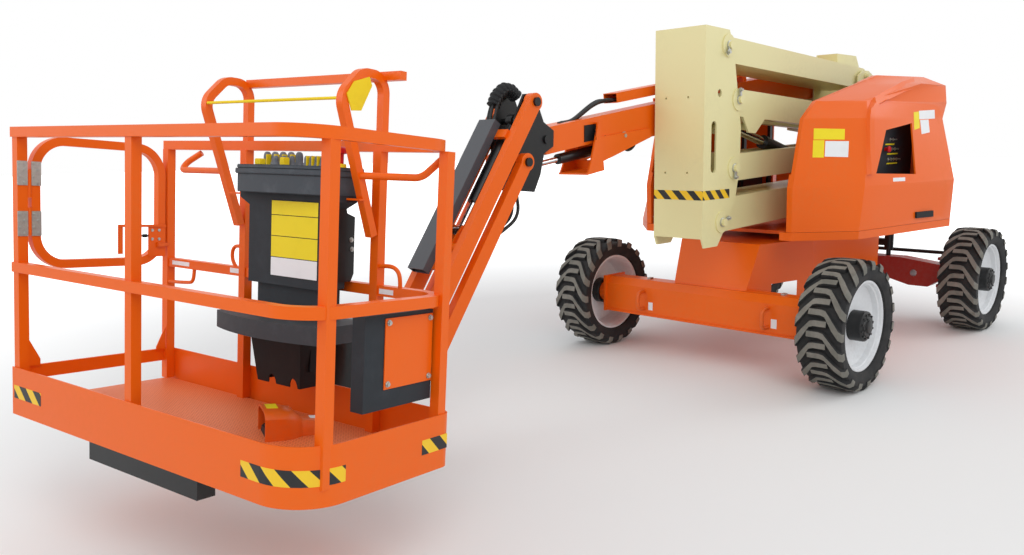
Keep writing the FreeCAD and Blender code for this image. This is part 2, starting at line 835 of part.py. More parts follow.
def hoods():
    wall = float(s.hoodwall)
    front = max(corners[0][0] for corners in HOOD_LEVELS.values())
    rear = min(corners[-1][0] for corners in HOOD_LEVELS.values())
    for name, side in (("left", 1), ("right", -1)):
        outer = hood_loft(side, 0, 0)
        inner = hood_loft(side, wall, wall * 2)
        shell = outer.cut(inner)
        high = float(s.hoodtop - s.hoodlip) - 5 * wall
        open_side = Part.makeBox(front - rear - 4 * wall, wall * 2 + 2, high)
        open_side.translate(V(rear + 2 * wall, side * float(s.hoodinner) - wall - 1, float(s.hoodlip) - 1))
        shell = shell.cut(open_side)
        if side > 0:
            start = float(s.hoodinner) + wall * 4
            corners = [V(x, start, z) for x, z in HOOD_WINDOW]
            prism = Part.Face(Part.makePolygon(corners + corners[:1])).extrude(V(0, float(s.hoodinner), 0))
            shell = shell.cut(prism)
        node("hood_" + name, feature("Hood" + name, shell))
    face = s.controlface
    panel = box("Panel", (s.controlrear, s.controlrear + s.controlwide), (face - s.controlthick, face), (s.controlfoot, s.controlfoot + s.controlhigh))
    middle = s.controlrear + s.controlwide / 2
    post = box("PanelPost", (middle - 30, middle + 30), (face - s.controlthick, face - 10),
               (s.deckbottom + s.deckthick + 0.3, s.controlfoot + 50))
    node("ground_controls", fuse("Controls", [panel, post]))


# Tower: two lifting sections, each a boom and a link that keep the upright level

def boss_arm(name, length, top, bottom, wide, centre, boss):
    """A straight box arm from its pin at the origin along -X, with round ends on both pins."""
    body = box(name + "Body", (-length, 0), (centre - wide / 2, centre + wide / 2), (-bottom, top))
    ends = [rod(name + "End", "y", boss, (x, centre - wide / 2, 0), wide) for x in (0, -length)]
    return fuse(name + "Solid", [body] + ends)


def tower():
    yt = s.towercentre
    inner = s.towerwidth - 2 * s.towerplate - 2 * s.towergap
    hole = s.pinradius + 0.05
    full = s.armlength
    # node, pin words, droop, top, bottom, twin links
    rows = (
        ("lower_tower_boom", s.pinfourx, s.pinfourz, -s.lowerdroop, s.boomfourtop, s.boomfourbottom, False),
        ("lower_tower_link", s.pinthreex, s.pinthreez, -s.lowerdroop, s.boomthreetop, s.boomthreebottom, True),
        ("upper_tower_boom", s.pinonex, s.pinonez, s.upperdroop, s.boomonetop, s.boomonebottom, False),
        ("upper_tower_link", s.pintwox, s.pintwoz, s.upperdroop, s.boomtwotop, s.boomtwobottom, True),
    )
    for label, px, pz, droop, top, bottom, twin in rows:
        word = label.title().replace("_", "")
        if twin:
            offset = (inner - s.linkwide) / 2
            solids = [boss_arm(word + k, full, top, bottom, s.linkwide, sign * offset, s.armboss)
                      for k, sign in (("A", 1), ("B", -1))]
            for k, x in (("A", -330), ("B", -full + 150)):
                solids.append(box(word + "Tie" + k, (x - 40, x + 40), (-offset, offset), (top - 30, top - 10)))
            if label == "upper_tower_link":
                drop = (s.pintwoz - s.towerlugz) * cosine(droop) + (s.towerlugx - s.pintwox) * sine(droop)
                lugx = (s.towerlugx - s.pintwox) * cosine(droop) - (s.pintwoz - s.towerlugz) * sine(droop)
                corners = [(lugx - 160, -bottom + 1), (lugx + 130, -bottom + 1), (lugx + 45, -drop - 45), (lugx - 45, -drop - 45)]
                solids += pair(word + "Lug", 0, inner - 32, dim(16), lambda n, y, t: plate(n, "xz", corners, y, t))
                solids += pair(word + "LugPin", 0, s.towereye + 2, (inner - s.towereye) / 2 - 1, lambda n, y, t: rod(n, "y", s.pinradius, (lugx, y, -drop), t))
        else:
            solids = [boss_arm(word, full, top, bottom, inner, dim(0), s.armboss)]
            if label == "lower_tower_boom":
                foot = s.towerbarrelx - full
                high = top + s.towerbarrelz
                solids += pair(word + "Lug", 0, s.towereye + s.clevisgap * 2, dim(16), lambda n, y, t: plate(
                    n, "xz", [(foot - 90, top - 1), (foot + 90, top - 1), (foot + 30, high + 45), (foot - 30, high + 45)], y, t))
                solids.append(rod(word + "LugPin", "y", s.pinradius, (foot, -s.towereye / 2 - s.clevisgap - 17, high), s.towereye + s.clevisgap * 2 + 34))
        bores = [rod(word + "Bore", "y", hole, (x, -inner, 0), inner * 2) for x in (0, -full)]
        piece = cut(word, fuse(word + "All", solids), bores)
        node(label, piece, px, yt, pz, -droop)


def upright():
    yt = s.towercentre
    front = s.uprightfront
    top = s.uprighttop
    foot = s.uprightfoot
    wall = s.towerplate
    corners = [(front, top), (s.pinonex - 15, top - 10), (s.pinonex - 75, s.pinonez - 40), (s.pintwox - 42, s.pintwoz - 180),
               (s.pinthreex - 80, s.pinthreez), (s.pinthreex - 25, s.pinthreez - 230), (s.pinfourx - 50, s.pinfourz - 40),
               (s.pinfourx + 44, foot), (front - 26, foot), (front, foot + 60)]
    inner = s.towerwidth - 2 * wall
    sides = pair("UprightSide", yt, inner, wall, lambda n, y, t: plate(n, "xz", corners, y, t))
    face = box("UprightFace", (front - wall, front), (yt - inner / 2 - 1, yt + inner / 2 + 1), (foot + 60, top))
    lid = box("UprightLid", (s.pinonex + s.lidback, front - 1), (yt - inner / 2 - 1, yt + inner / 2 + 1), (top - 10 - wall, top - 10))
    tools = []
    slot = s.slotwide / 2
    tools.append(box("SlotMid", (s.slotx - slot, s.slotx + slot), (yt, yt + s.towerwidth), (s.slotz - s.slothigh / 2 + slot, s.slotz + s.slothigh / 2 - slot)))
    for k in (-1, 1):
        tools.append(rod("SlotEnd", "y", slot, (s.slotx, yt, s.slotz + (s.slothigh / 2 - slot) * k), s.towerwidth))
    tools.append(rod("Port", "y", s.portradius, (s.portx, yt, s.portz), s.towerwidth))
    for across in (-1, 1):
        for up in (-1, 1):
            place = (front - 3 * wall, s.faceholey + s.faceholewide / 2 * across, s.faceholez + s.faceholehigh / 2 * up)
            tools.append(rod("FaceHole", "x", s.faceholeradius, place, wall * 4))
    body = cut("UprightBody", fuse("UprightPlates", sides + [face, lid]), tools)
    pieces = [body]
    # the main boom lies close on the right, so there the pins end flush with the plate
    for name, px, pz in (("One", s.pinonex, s.pinonez), ("Two", s.pintwox, s.pintwoz), ("Three", s.pinthreex, s.pinthreez),
                         ("Four", s.pinfourx, s.pinfourz)):
        pieces.append(rod("Boss" + name, "y", s.bossradius, (px, yt + s.towerwidth / 2 - 1, pz), s.bossproud + 1))
        reach = (s.linkwide + s.towergap) if name in ("Two", "Three") else inner / 2
        pieces.append(rod("PinLeft" + name, "y", s.pinradius, (px, yt + inner / 2 - reach, pz), reach + wall + s.pinproud))
        pieces.append(rod("PinRight" + name, "y", s.pinradius, (px, yt - s.towerwidth / 2, pz), reach + wall))
    node("tower_upright", fuse("Upright", pieces))


def upper_upright():
    yt = s.towercentre
    wall = s.towerplate
    inner = s.towerwidth - 2 * wall
    droop = s.upperdroop
    onex = s.pinonex - s.armlength * cosine(droop)
    onez = s.pinonez - s.armlength * sine(droop)
    twox = s.pintwox - s.armlength * cosine(droop)
    twoz = s.pintwoz - s.armlength * sine(droop)
    rear, front = s.upperrearx, s.upperfrontx
    tail = [(rear, twoz - 60), (twox - 60, s.upperfootz), (s.liftfootx + 50, s.upperfootz + 30), (s.liftfootx + 50, s.liftfootz + 40)]
    corners = [(front, onez + 60), (front - 40, s.uppertopz), (rear + 60, s.uppertopz), (rear, s.uppertopz - 80)] + tail
    low = onez + s.leftplatetop
    lower = [(front, onez), (onex + 50, low), (onex - 50, low), (rear, onez - 60)] + tail
    pieces = [plate("UpperLeft", "xz", lower, yt + inner / 2, wall), plate("UpperRight", "xz", corners, yt - inner / 2 - wall, wall)]
    edge = s.boomcentre - s.basewide / 2 - 10 - s.outerplate
    pieces.append(plate("OuterSide", "xz", corners, edge, s.outerplate))
    head = [(front - 40, s.headtop), (rear + 60, s.headtop), (rear, s.headtop - 80), (rear, s.headbottom), (front - 60, s.headbottom)]
    pieces.append(plate("UpperHead", "xz", head, s.headright, s.headleft - s.headright))
    back = yt + inner / 2 + 1
    pieces.append(box("UpperBack", (s.upperrearx, s.upperrearx + wall), (edge + 1, back), (twoz - 60, onez - 60)))
    left = yt - inner / 2
    for name, px, pz in (("One", onex, onez), ("Two", twox, twoz)):
        reach = inner / 2 if name == "One" else s.linkwide + s.towergap
        # the pin on the boom's side ends flush, so that the main boom swings past it
        pieces.append(rod("UpperPinOut" + name, "y", s.pinradius, (px, yt + inner / 2 - reach, pz), reach + wall + s.pinproud))
        pieces.append(rod("UpperPinIn" + name, "y", s.pinradius, (px, left - wall, pz), reach + wall))
    for name, px, pz, r in (("Boom", s.pivotx, s.pivotz, 30), ("Lift", s.liftfootx, s.liftfootz, s.pinradius)):
        pieces.append(rod("UpperPin" + name, "y", r, (px, edge - 20, pz), left - edge + 20))
    node("upper_upright", fuse("UpperUpright", pieces))


# Main boom, drawn along X from its pivot

def main_boom():
    bind_at = dict(x=s.pivotx, y=s.boomcentre, z=s.pivotz, pitch=s.boomslope)
    wide = s.basewide
    clear = 10
    outer = box("BaseOuter", (-s.baseback, s.baselength), (-wide / 2, wide / 2), (-s.basebottom, s.basetop))
    hollow = box("BaseHollow", (s.flystart - 150, s.baselength + 1), (-s.flywide / 2 - clear, s.flywide / 2 + clear),
                 (-s.flybottom - clear, s.flytop + clear))
    bore = rod("BaseBore", "y", dim(30.05), (0, -wide, 0), wide * 2)
    drop = s.basebottom + s.lifteyedrop
    lugs = pair("LiftLug", 0, s.lifteye + s.clevisgap * 2, dim(16), lambda n, y, t: plate(n, "xz", [(s.lifteyex - 110, -s.basebottom + 1), (s.lifteyex + 110, -s.basebottom + 1),
                                                                   (s.lifteyex + 40, -drop - 38), (s.lifteyex - 40, -drop - 38)], y, t))
    stubs = pair("LiftStub", 0, s.lifteye + 2, s.clevisgap + 25, lambda n, y, t: rod(n, "y", s.pinradius, (s.lifteyex, y, -drop), t))
    half, mouth, gap = s.flywide / 2, (s.baselength - s.padlength, s.baselength - 10), s.padgap
    pads = [box("PadTop", mouth, (-half, half), (s.flytop + gap, s.flytop + clear + 1)),
            box("PadLow", mouth, (-half, half), (-s.flybottom - clear - 1, -s.flybottom - gap)),
            box("PadLeft", mouth, (half + gap, half + clear + 1), (-s.flybottom, s.flytop)),
            box("PadRight", mouth, (-half - clear - 1, -half - gap), (-s.flybottom, s.flytop))]
    base = fuse("Base", [cut("BaseTube", outer, [hollow, bore])] + lugs + stubs + pads)
    node("boom_base", base, **bind_at)

    tray = box("TrayOuter", (s.traystart, s.trayend), (-s.traywide / 2, s.traywide / 2), (s.traybottom, s.traybottom + s.trayheight))
    room = box("TrayRoom", (s.traystart - 1, s.trayend + 1), (-s.traywide / 2 + s.traywall, s.traywide / 2 - s.traywall),
               (s.traybottom + s.traywall, s.traybottom + s.trayheight - s.traywall))
    feet = [box("TrayFoot", (x, x + 50), (-s.traywide / 2, s.traywide / 2), (s.basetop + 0.3, s.traybottom + 1))
            for x in (s.traystart + 100, (s.traystart + s.baselength) / 2, s.baselength - 160)]
    node("hose_tray", fuse("Tray", [cut("TrayTube", tray, [room])] + feet), **bind_at)

    wide = s.flywide
    tube = box("FlyTube", (s.flystart, s.flyend), (-wide / 2, wide / 2), (-s.flybottom, s.flytop))
    slope = s.boomslope
    px = (s.nosepivotx - s.pivotx) * cosine(slope) - (s.nosepivotz - s.pivotz) * sine(slope)
    pz = (s.nosepivotx - s.pivotx) * sine(slope) + (s.nosepivotz - s.pivotz) * cosine(slope)
    nose = box("FlyNose", (s.flyend - 1, px), (-wide / 2, wide / 2), (-s.nosebottom, s.flytop))
    boss = rod("FlyBoss", "y", s.noseradius, (px, -wide / 2, pz), wide)
    bore = rod("FlyBore", "y", s.pinradius + 0.05, (px, -wide, pz), wide * 2)
    cheek_points = [(s.cheekstart, -s.flybottom + 1), (s.cheekend, -s.nosebottom + 1), (s.cheekend, -s.cheekdrop)]
    cheek_points = [(s.cheekstart, -s.flybottom + 60), (s.cheekend, -s.nosebottom + 30), (s.cheekend, -s.cheekdrop), (s.cheekstart, -s.flybottom)]
    cheeks = pair("Cheek", 0, wide - 1, s.cheekthick, lambda n, y, t: plate(n, "xz", cheek_points, y, t))
    guard = []
    guard += pair("GuardSide", 0, s.guardwide - 2 * s.cheekthick, s.cheekthick, lambda n, y, t: plate(
        n, "xz", [(s.cheekend, -s.guarddrop), (s.guardend, -s.guarddrop), (s.guardend - 40, -s.guarddrop + 60), (s.cheekend + 12, s.flytop - 30), (s.cheekend, s.flytop - 30)], y, t))
    guard.append(box("GuardFloor", (s.cheekend, s.guardend), (-s.guardwide / 2, s.guardwide / 2), (-s.guarddrop, -s.guarddrop + s.cheekthick)))
    guard.append(box("GuardBack", (s.cheekend, s.cheekend + s.cheekthick), (-s.guardwide / 2, s.guardwide / 2), (-s.guarddrop, -s.nosebottom - 110)))
    for k, y in (("L", s.flywide / 2 - 1), ("R", -s.guardwide / 2)):
        guard.append(box("GuardWing" + k, (s.cheekend, s.cheekend + s.cheekthick), (y, y + s.guardwide / 2 - s.flywide / 2 + 1), (-s.guarddrop, s.flytop - 30)))
    stubs = [rod("LevelPin", "y", s.levelpinradius, (s.levelbackx, -s.flywide / 2, s.levelbackz), s.flywide)]
    fly = cut("FlyAll", fuse("FlySolid", [tube, nose, boss] + cheeks + guard + stubs), [bore])
    node("fly_boom", fly, **bind_at)
    return px, pz


def ram(name, start, end, radii, centre, eye, share, back):
    """A hydraulic ram in the XZ plane: its barrel pinned at start, its rod's eye at end.

    radii are those of the barrel, the rod, the base pin and both eyes, eye is the eyes' width,
    share is the barrel's part of the length between the pins, and back is how far the rod can
    still slide in."""
    barrel_radius, rod_radius, pin, eye_radius = [float(r) for r in radii]
    dx, dz = float(end[0]) - float(start[0]), float(end[1]) - float(start[1])
    length = math.hypot(dx, dz)
    turn = FreeCAD.Rotation(V(0, 1, 0), -math.degrees(math.atan2(dz, dx)))
    wide = float(eye)
    sleeve = length * share
    along = V(1, 0, 0)
    across = V(0, 1, 0)
    neck = eye_radius * 2
    barrel = Part.makeCylinder(barrel_radius, sleeve - neck, V(neck, 0, 0), along)
    barrel = barrel.fuse(Part.makeCylinder(wide / 2, neck, V(1, 0, 0), along))
    barrel = barrel.fuse(Part.makeCylinder(eye_radius, wide, V(0, -wide / 2, 0), across))
    depth = eye_radius * 2.2
    barrel = barrel.cut(Part.makeCylinder(pin + 0.05, wide * 4, V(0, -wide * 2, 0), across))
    barrel = barrel.cut(Part.makeCylinder(rod_radius + 0.05, length, V(depth, 0, 0), along))
    inner = depth + float(back)
    stem = Part.makeCylinder(rod_radius, length - inner - eye_radius * 0.5, V(inner, 0, 0), along)
    stem = stem.fuse(Part.makeCylinder(eye_radius, wide, V(length, -wide / 2, 0), across))
    place = FreeCAD.Placement(V(float(dim(start[0]) - s.originx), float(dim(centre) - s.originy), float(start[1])), turn)
    for part, shape in (("barrel", barrel), ("rod", stem)):
        obj = feature(name.title() + part.title(), shape)
        obj.Placement = place
        obj.Label = f"{name}_{part}"
        nodes.append(obj)


def jib_point(base, x, z, slope):
    return (base[0] + x * cosine(slope) + z * sine(slope), base[1] - x * sine(slope) + z * cosine(slope))


def jib_bracket():
    yb = s.boomcentre
    tx, tz, fx, fz = s.jibtopx, s.jibtopz, s.jibfootx, s.jibfootz
    nx, nz = s.nosepivotx, s.nosepivotz
    corners = [(tx - 45, tz + 50), (tx + 40, tz + 45), (tx + 115, tz - 90), (fx + 60, fz + 80), (fx + 60, fz - 40), (fx - 10, fz - 165),
               (fx - 107, fz - 175), (fx - 160, fz - 76), (nx + 20, nz - 80), (nx - 60, nz - 40), (nx - 65, nz + 50), (nx + 20, nz + 100)]
    pieces = pair("BracketPlate", yb, s.bracketinner, s.bracketplate, lambda n, y, t: plate(n, "xz", corners, y, t))
    pieces.append(rod("NosePin", "y", s.pinradius, (nx, yb - s.bracketinner / 2 - s.bracketplate - 12, nz), s.bracketinner + 2 * s.bracketplate + 24))
    for name, px, pz in (("Top", tx, tz), ("Foot", fx, fz)):
        pieces += pair("ArmPin" + name, yb, s.bracketinner + 2, s.bracketplate + s.jibgap + s.jibtube + 14,
                       lambda n, y, t, px=px, pz=pz: rod(n, "y", s.pinradius, (px, y, pz), t))
    root = jib_root()
    pieces.append(rod("RootPin", "y", s.jibpinradius, (root[0], yb - s.bracketinner / 2 - 1, root[1]), s.bracketinner + 2))
    pieces += pair("LevelPin", yb, s.leveleye + 2, (s.bracketinner - s.leveleye) / 2, lambda n, y, t: rod(n, "y", s.levelpinradius, (s.levelpinx, y, s.levelpinz), t))
    node("jib_bracket", fuse("Bracket", pieces))


def jib_root():
    return (s.jibtopx + s.jibrootlength * cosine(s.jibrootangle), s.jibtopz - s.jibrootlength * sine(s.jibrootangle))


def jib_arms():
    yb = s.boomcentre
    inner = s.bracketinner + 2 * s.bracketplate + 2 * s.jibgap
    full = s.jiblength
    for label, deep, base in (("jib_upper_arm", s.jibupperdeep, (s.jibtopx, s.jibtopz)), ("jib_lower_arm", s.jiblowerdeep, (s.jibfootx, s.jibfootz))):
        word = label.title().replace("_", "")
        solids = []
        for k, sign in (("A", 1), ("B", -1)):
            y = (inner / 2 if sign > 0 else -inner / 2 - s.jibtube)
            solids.append(box(word + "Tube" + k, (0, full), (y, y + s.jibtube), (-deep / 2, deep / 2)))
            solids += [rod(word + "Boss" + k, "y", s.jibboss, (x, y, 0), s.jibtube) for x in (0, full)]
        if label == "jib_upper_arm":
            solids.append(rod(word + "Cross", "y", dim(26), (s.jibeyex + 110, -inner / 2 - 1, 12), inner + 2))
            solids += pair(word + "Lug", 0, s.jibeye + s.clevisgap * 2, dim(12), lambda n, y, t: plate(n, "xz", [(s.jibeyex - 35, s.jibeyez - 32), (s.jibeyex + 20, s.jibeyez - 32),
                                                                                  (s.jibeyex + 125, 0), (s.jibeyex + 125, 32), (s.jibeyex - 35, s.jibeyez + 32)], y, t))
            for k, x in (("A", s.coverstart + 60), ("B", s.coverend - 60)):
                solids.append(box(word + "Strap" + k, (x - 25, x + 25), (-inner / 2 - 1, inner / 2 + 1), (s.jibupperdeep / 2 - 8, s.coverbottom - 0.3)))
        else:
            solids.append(rod(word + "Cross", "y", dim(22), (full * 0.78, -inner / 2 - 1, 0), inner + 2))
        bores = [rod(word + "Bore", "y", s.pinradius + 0.05, (x, -inner, 0), inner * 2) for x in (0, full)]
        piece = cut(word, fuse(word + "All", solids), bores)
        node(label, piece, base[0], yb, base[1], s.jibslope)
    outer = box("CoverOuter", (s.coverstart, s.coverend), (s.covershift - s.coverwide / 2, s.covershift + s.coverwide / 2), (s.coverbottom, s.coverbottom + s.coverhigh))
    room = box("CoverRoom", (s.coverstart - 1, s.coverend + 1), (s.covershift - s.coverwide / 2 + s.coverwall, s.covershift + s.coverwide / 2 - s.coverwall),
               (s.coverbottom + s.coverwall, s.coverbottom + s.coverhigh - s.coverwall))
    node("jib_cover", cut("Cover", outer, [room]), s.jibtopx, yb, s.jibtopz, s.jibslope)


def jib_end(base):
    return (base[0] + s.jiblength * cosine(s.jibslope), base[1] - s.jiblength * sine(s.jibslope))


def platform_place(yawed=True, centred=True):
    """Where the platform's own frame stands: on the rotator's axis, tipped and turned."""
    tip = FreeCAD.Rotation(V(0, 1, 0), -float(s.platformtilt))
    turn = tip.multiply(FreeCAD.Rotation(V(0, 0, 1), float(s.platformyaw))) if yawed else tip
    place = FreeCAD.Placement(V(float(s.carrierx - s.originx), float(s.boomcentre - s.originy), float(s.carrierz)), turn)
    shift = V(0, float(s.platformshift) if centred else 0, 0)
    return place.multiply(FreeCAD.Placement(shift, FreeCAD.Rotation()))


def platform_node(label, obj, yawed=True, centred=True):
    """Finish a piece drawn in the platform's own frame, whose middle lies beside the rotator's axis."""
    if obj.Name in starts:
        obj = feature(label, obj.Shape)
    obj.Placement = platform_place(yawed, centred).multiply(obj.Placement)
    obj.Label = label
    nodes.append(obj)


def carrier():
    """The plates on the jib's far pins and the rotary actuator that they hold."""
    yb = s.boomcentre
    top = jib_end((s.jibtopx, s.jibtopz))
    foot = jib_end((s.jibfootx, s.jibfootz))
    edge = s.carrierx - s.rotorradius * 0.6 - s.rotorheight * sine(s.platformtilt)
    low = s.carrierz + s.rotorbottom + 40
    corners = [(top[0] - 45, top[1] + 45), (top[0] + 45, top[1] + 50), (edge, low + s.rotorheight - 60), (edge, low),
               (foot[0] + 30, foot[1] - 48), (foot[0] - 45, foot[1] - 40)]
    pieces = pair("CarrierPlate", yb, s.bracketinner, s.bracketplate, lambda n, y, t: plate(n, "xz", corners, y, t))
    for name, (px, pz) in (("Top", top), ("Foot", foot)):
        pieces += pair("FarPin" + name, yb, s.bracketinner + 2, s.bracketplate + s.jibgap + s.jibtube + 14,
                       lambda n, y, t, px=px, pz=pz: rod(n, "y", s.pinradius, (px, y, pz), t))
    back = s.rotorradius + s.bracketplate + 0.3
    web = box("CarrierWeb", (dim(0), s.bracketplate), (dim(0), s.bracketinner + 2), (dim(0), s.rotorheight - 80))
    foot_up = s.rotorbottom + 40
    pieces.append(put(web, s.carrierx - back * cosine(s.platformtilt) - foot_up * sine(s.platformtilt), yb - s.bracketinner / 2 - 1,
                      s.carrierz - back * sine(s.platformtilt) + foot_up * cosine(s.platformtilt), -s.platformtilt))
    node("jib_carrier", fuse("Carrier", pieces))
    drum = rod("Drum", "z", s.rotorradius, (0, 0, s.rotorbottom), s.rotorheight)
    platform_node("rotator", drum, False, False)


# Platform, drawn square in its own frame: X ahead, Y across, Z up from the toe board's lower edge

def round_path(points, radii, z):
    """A wire through plan points with its corners rounded."""
    path = [V(x, y, z) for x, y in points]
    edges = []
    last = path[0]
    for i in range(1, len(path) - 1):
        r = radii[i - 1]
        a = (path[i - 1] - path[i]).normalize()
        b = (path[i + 1] - path[i]).normalize()
        if r <= 0:
            edges.append(Part.LineSegment(last, path[i]).toShape())
            last = path[i]
            continue
        half = a.getAngle(b) / 2
        back = r / math.tan(half)
        start = path[i] + a * back
        end = path[i] + b * back
        bisect = (a + b).normalize()
        middle = path[i] + bisect * (r / math.sin(half) - r)
        if (start - last).Length > 1e-6:
            edges.append(Part.LineSegment(last, start).toShape())
        edges.append(Part.Arc(start, middle, end).toShape())
        last = end
    edges.append(Part.LineSegment(last, path[-1]).toShape())
    return Part.Wire(edges)


def band(points, radii, low, high, wall):
    """A standing strip that follows a rounded plan, wall thick towards the inside of its bends."""
    outer = round_path(points, radii, low)
    moved = []
    count = len(points)
    normals = []
    for i in range(count - 1):
        dx, dy = points[i + 1][0] - points[i][0], points[i + 1][1] - points[i][1]
        size = math.hypot(dx, dy)
        normals.append((-dy / size, dx / size))
    for i in range(count):
        if i == 0 or i == count - 1:
            n = normals[0] if i == 0 else normals[-1]
            moved.append((points[i][0] + n[0] * wall, points[i][1] + n[1] * wall))
        else:
            n, m = normals[i - 1], normals[i]
            k = wall / (1 + n[0] * m[0] + n[1] * m[1])
            moved.append((points[i][0] + (n[0] + m[0]) * k, points[i][1] + (n[1] + m[1]) * k))
    inner = round_path(moved, [max(r - wall, 0) for r in radii], low)
    first = Part.LineSegment(outer.Vertexes[0].Point, inner.Vertexes[0].Point).toShape()
    end = Part.LineSegment(outer.Vertexes[-1].Point, inner.Vertexes[-1].Point).toShape()
    wire = Part.Wire(Part.__sortEdges__(outer.Edges + inner.Edges + [first, end]))
    return Part.Face(wire).extrude(V(0, 0, high - low))


def platform_limits():
    rear = float(s.platformgap)
    front = rear + float(s.platformdepth)
    half = float(s.platformwidth) / 2
    return rear, front, half


def rail_band(z, inset=0.0):
    rear, front, half = platform_limits()
    square = float(s.railsquare)
    r = float(s.railcorner)
    a = inset
    plan = [(front - a, -half + a), (front - a, half - a), (rear + a, half - a), (rear + a, -half + a)]
    return band(plan, [r, r], z, z + square, square)


def post(x, y, low, high):
    square = float(s.railsquare)
    shape = Part.makeBox(square, square, high - low)
    shape.translate(V(x - square / 2, y - square / 2, low))
    return shape


def platform_frame():
    rear, front, half = platform_limits()
    sq = float(s.railsquare)
    wall = float(s.toewall)
    r = float(s.toecorner)
    toe = band([(front, -half), (front, half), (rear, half), (rear, -half)], [r, float(s.toerear)], 0.0, float(s.toeboard), wall)
    floor = Part.makeBox(front - rear - 2 * wall - 40, 2 * half - 60, float(s.floorthick))
    floor.translate(V(rear + wall + 20, -half + 30, float(s.floorheight) - float(s.floorthick)))
    platform_node("platform_floor", feature("Floor", floor.common(corner_block(float(s.floorheight) - float(s.floorthick), float(s.floorheight)))))
    top = float(s.railtop) - sq
    mid = float(s.midrail) - sq / 2
    inset = 1.0
    shapes = [toe, rail_band(top, inset), rail_band(mid, inset)]
    toe_top = float(s.toeboard)
    side = half - sq / 2 - inset
    f = front - sq / 2 - inset
    b = rear + sq / 2 + inset
    low = float(s.floorheight) + 0.3
    for x, y in ((f, -side), (f, float(s.frontpost)), (rear + float(s.sidepost), side), (b + float(s.cornerpost), side), (b, -side),
                 (b, float(s.rearpostleft)), (b, float(s.rearpostright))):
        shapes.append(post(x - (wall if x == f else 0) + (wall if x == b else 0), y - math.copysign(wall, y) * (abs(y) == side), low, top + 1))
    sill = Part.makeBox(front - rear - 2 * sq, 12, 60)
    sill.translate(V(rear + sq, -half + 14, float(s.toeboard) - 60))
    shapes.append(sill)
    for under in (-300.0, 300.0):
        bar = Part.makeBox(front - rear - 2, 60, float(s.floorheight) - float(s.floorthick) - 0.3)
        bar.translate(V(rear + 1, under - 30, 0))
        shapes.append(bar)
    frame = shapes[0].multiFuse(shapes[1:])
    platform_node("platform_frame", feature("RailFrame", frame))
    under = Part.makeBox(front - float(s.channelwide), float(s.underwide), float(s.underhigh))
    channel = Part.makeBox(float(s.channelwide), float(s.channellength), float(s.underhigh))
    channel.translate(V(front - float(s.channelwide) - 1, float(s.channelstart), -float(s.underhigh) - 0.3))
    mast = Part.makeBox(60, 200, float(s.midrail))
    arm = Part.makeCylinder(float(s.rotorradius), 40, V(0, 0, float(s.rotorbottom) + float(s.rotorheight) + 0.3))
    under.translate(V(0, -float(s.underwide) / 2, -float(s.underhigh) - 0.3))
    foot = Part.makeCylinder(float(s.rotorradius), float(s.rotorbottom) + float(s.underhigh), V(0, 0, -float(s.underhigh) - 0.3))
    mast.translate(V(rear - 60.3, -100, -float(s.underhigh) - 0.3))
    link = Part.makeBox(rear - 30, 120, 40)
    link.translate(V(0, -60, float(s.rotorbottom) + float(s.rotorheight) + 0.3))
    platform_node("platform_support", feature("Support", under.multiFuse([channel, mast, arm, foot, link])), True, False)


def corner_block(low, high):
    rear, front, half = platform_limits()
    r = float(s.toecorner)
    w = float(s.toewall) + float(s.floorgap)
    plan = [V(front - w, -half + w, low), V(front - w, half - w, low), V(rear + w, half - w, low), V(rear + w, -half + w, low)]
    wire = Part.makePolygon(plan + plan[:1])
    block = Part.Face(wire).extrude(V(0, 0, high - low))
    upright_edges = [e for e in block.Edges if abs(e.Vertexes[0].Z - e.Vertexes[-1].Z) > 1 and e.Vertexes[0].Y > 0]
    ahead = [e for e in upright_edges if e.Vertexes[0].X > (rear + front) / 2]
    behind = [e for e in upright_edges if e.Vertexes[0].X < (rear + front) / 2]
    block = block.makeFillet(r - w, ahead)
    behind = [e for e in block.Edges if any(abs(e.CenterOfMass.x - b.CenterOfMass.x) < 1 and abs(e.CenterOfMass.y - b.CenterOfMass.y) < 1
                                            and abs(e.CenterOfMass.z - b.CenterOfMass.z) < 1 for b in behind)]
    return block.makeFillet(float(s.toerear) - w, behind)


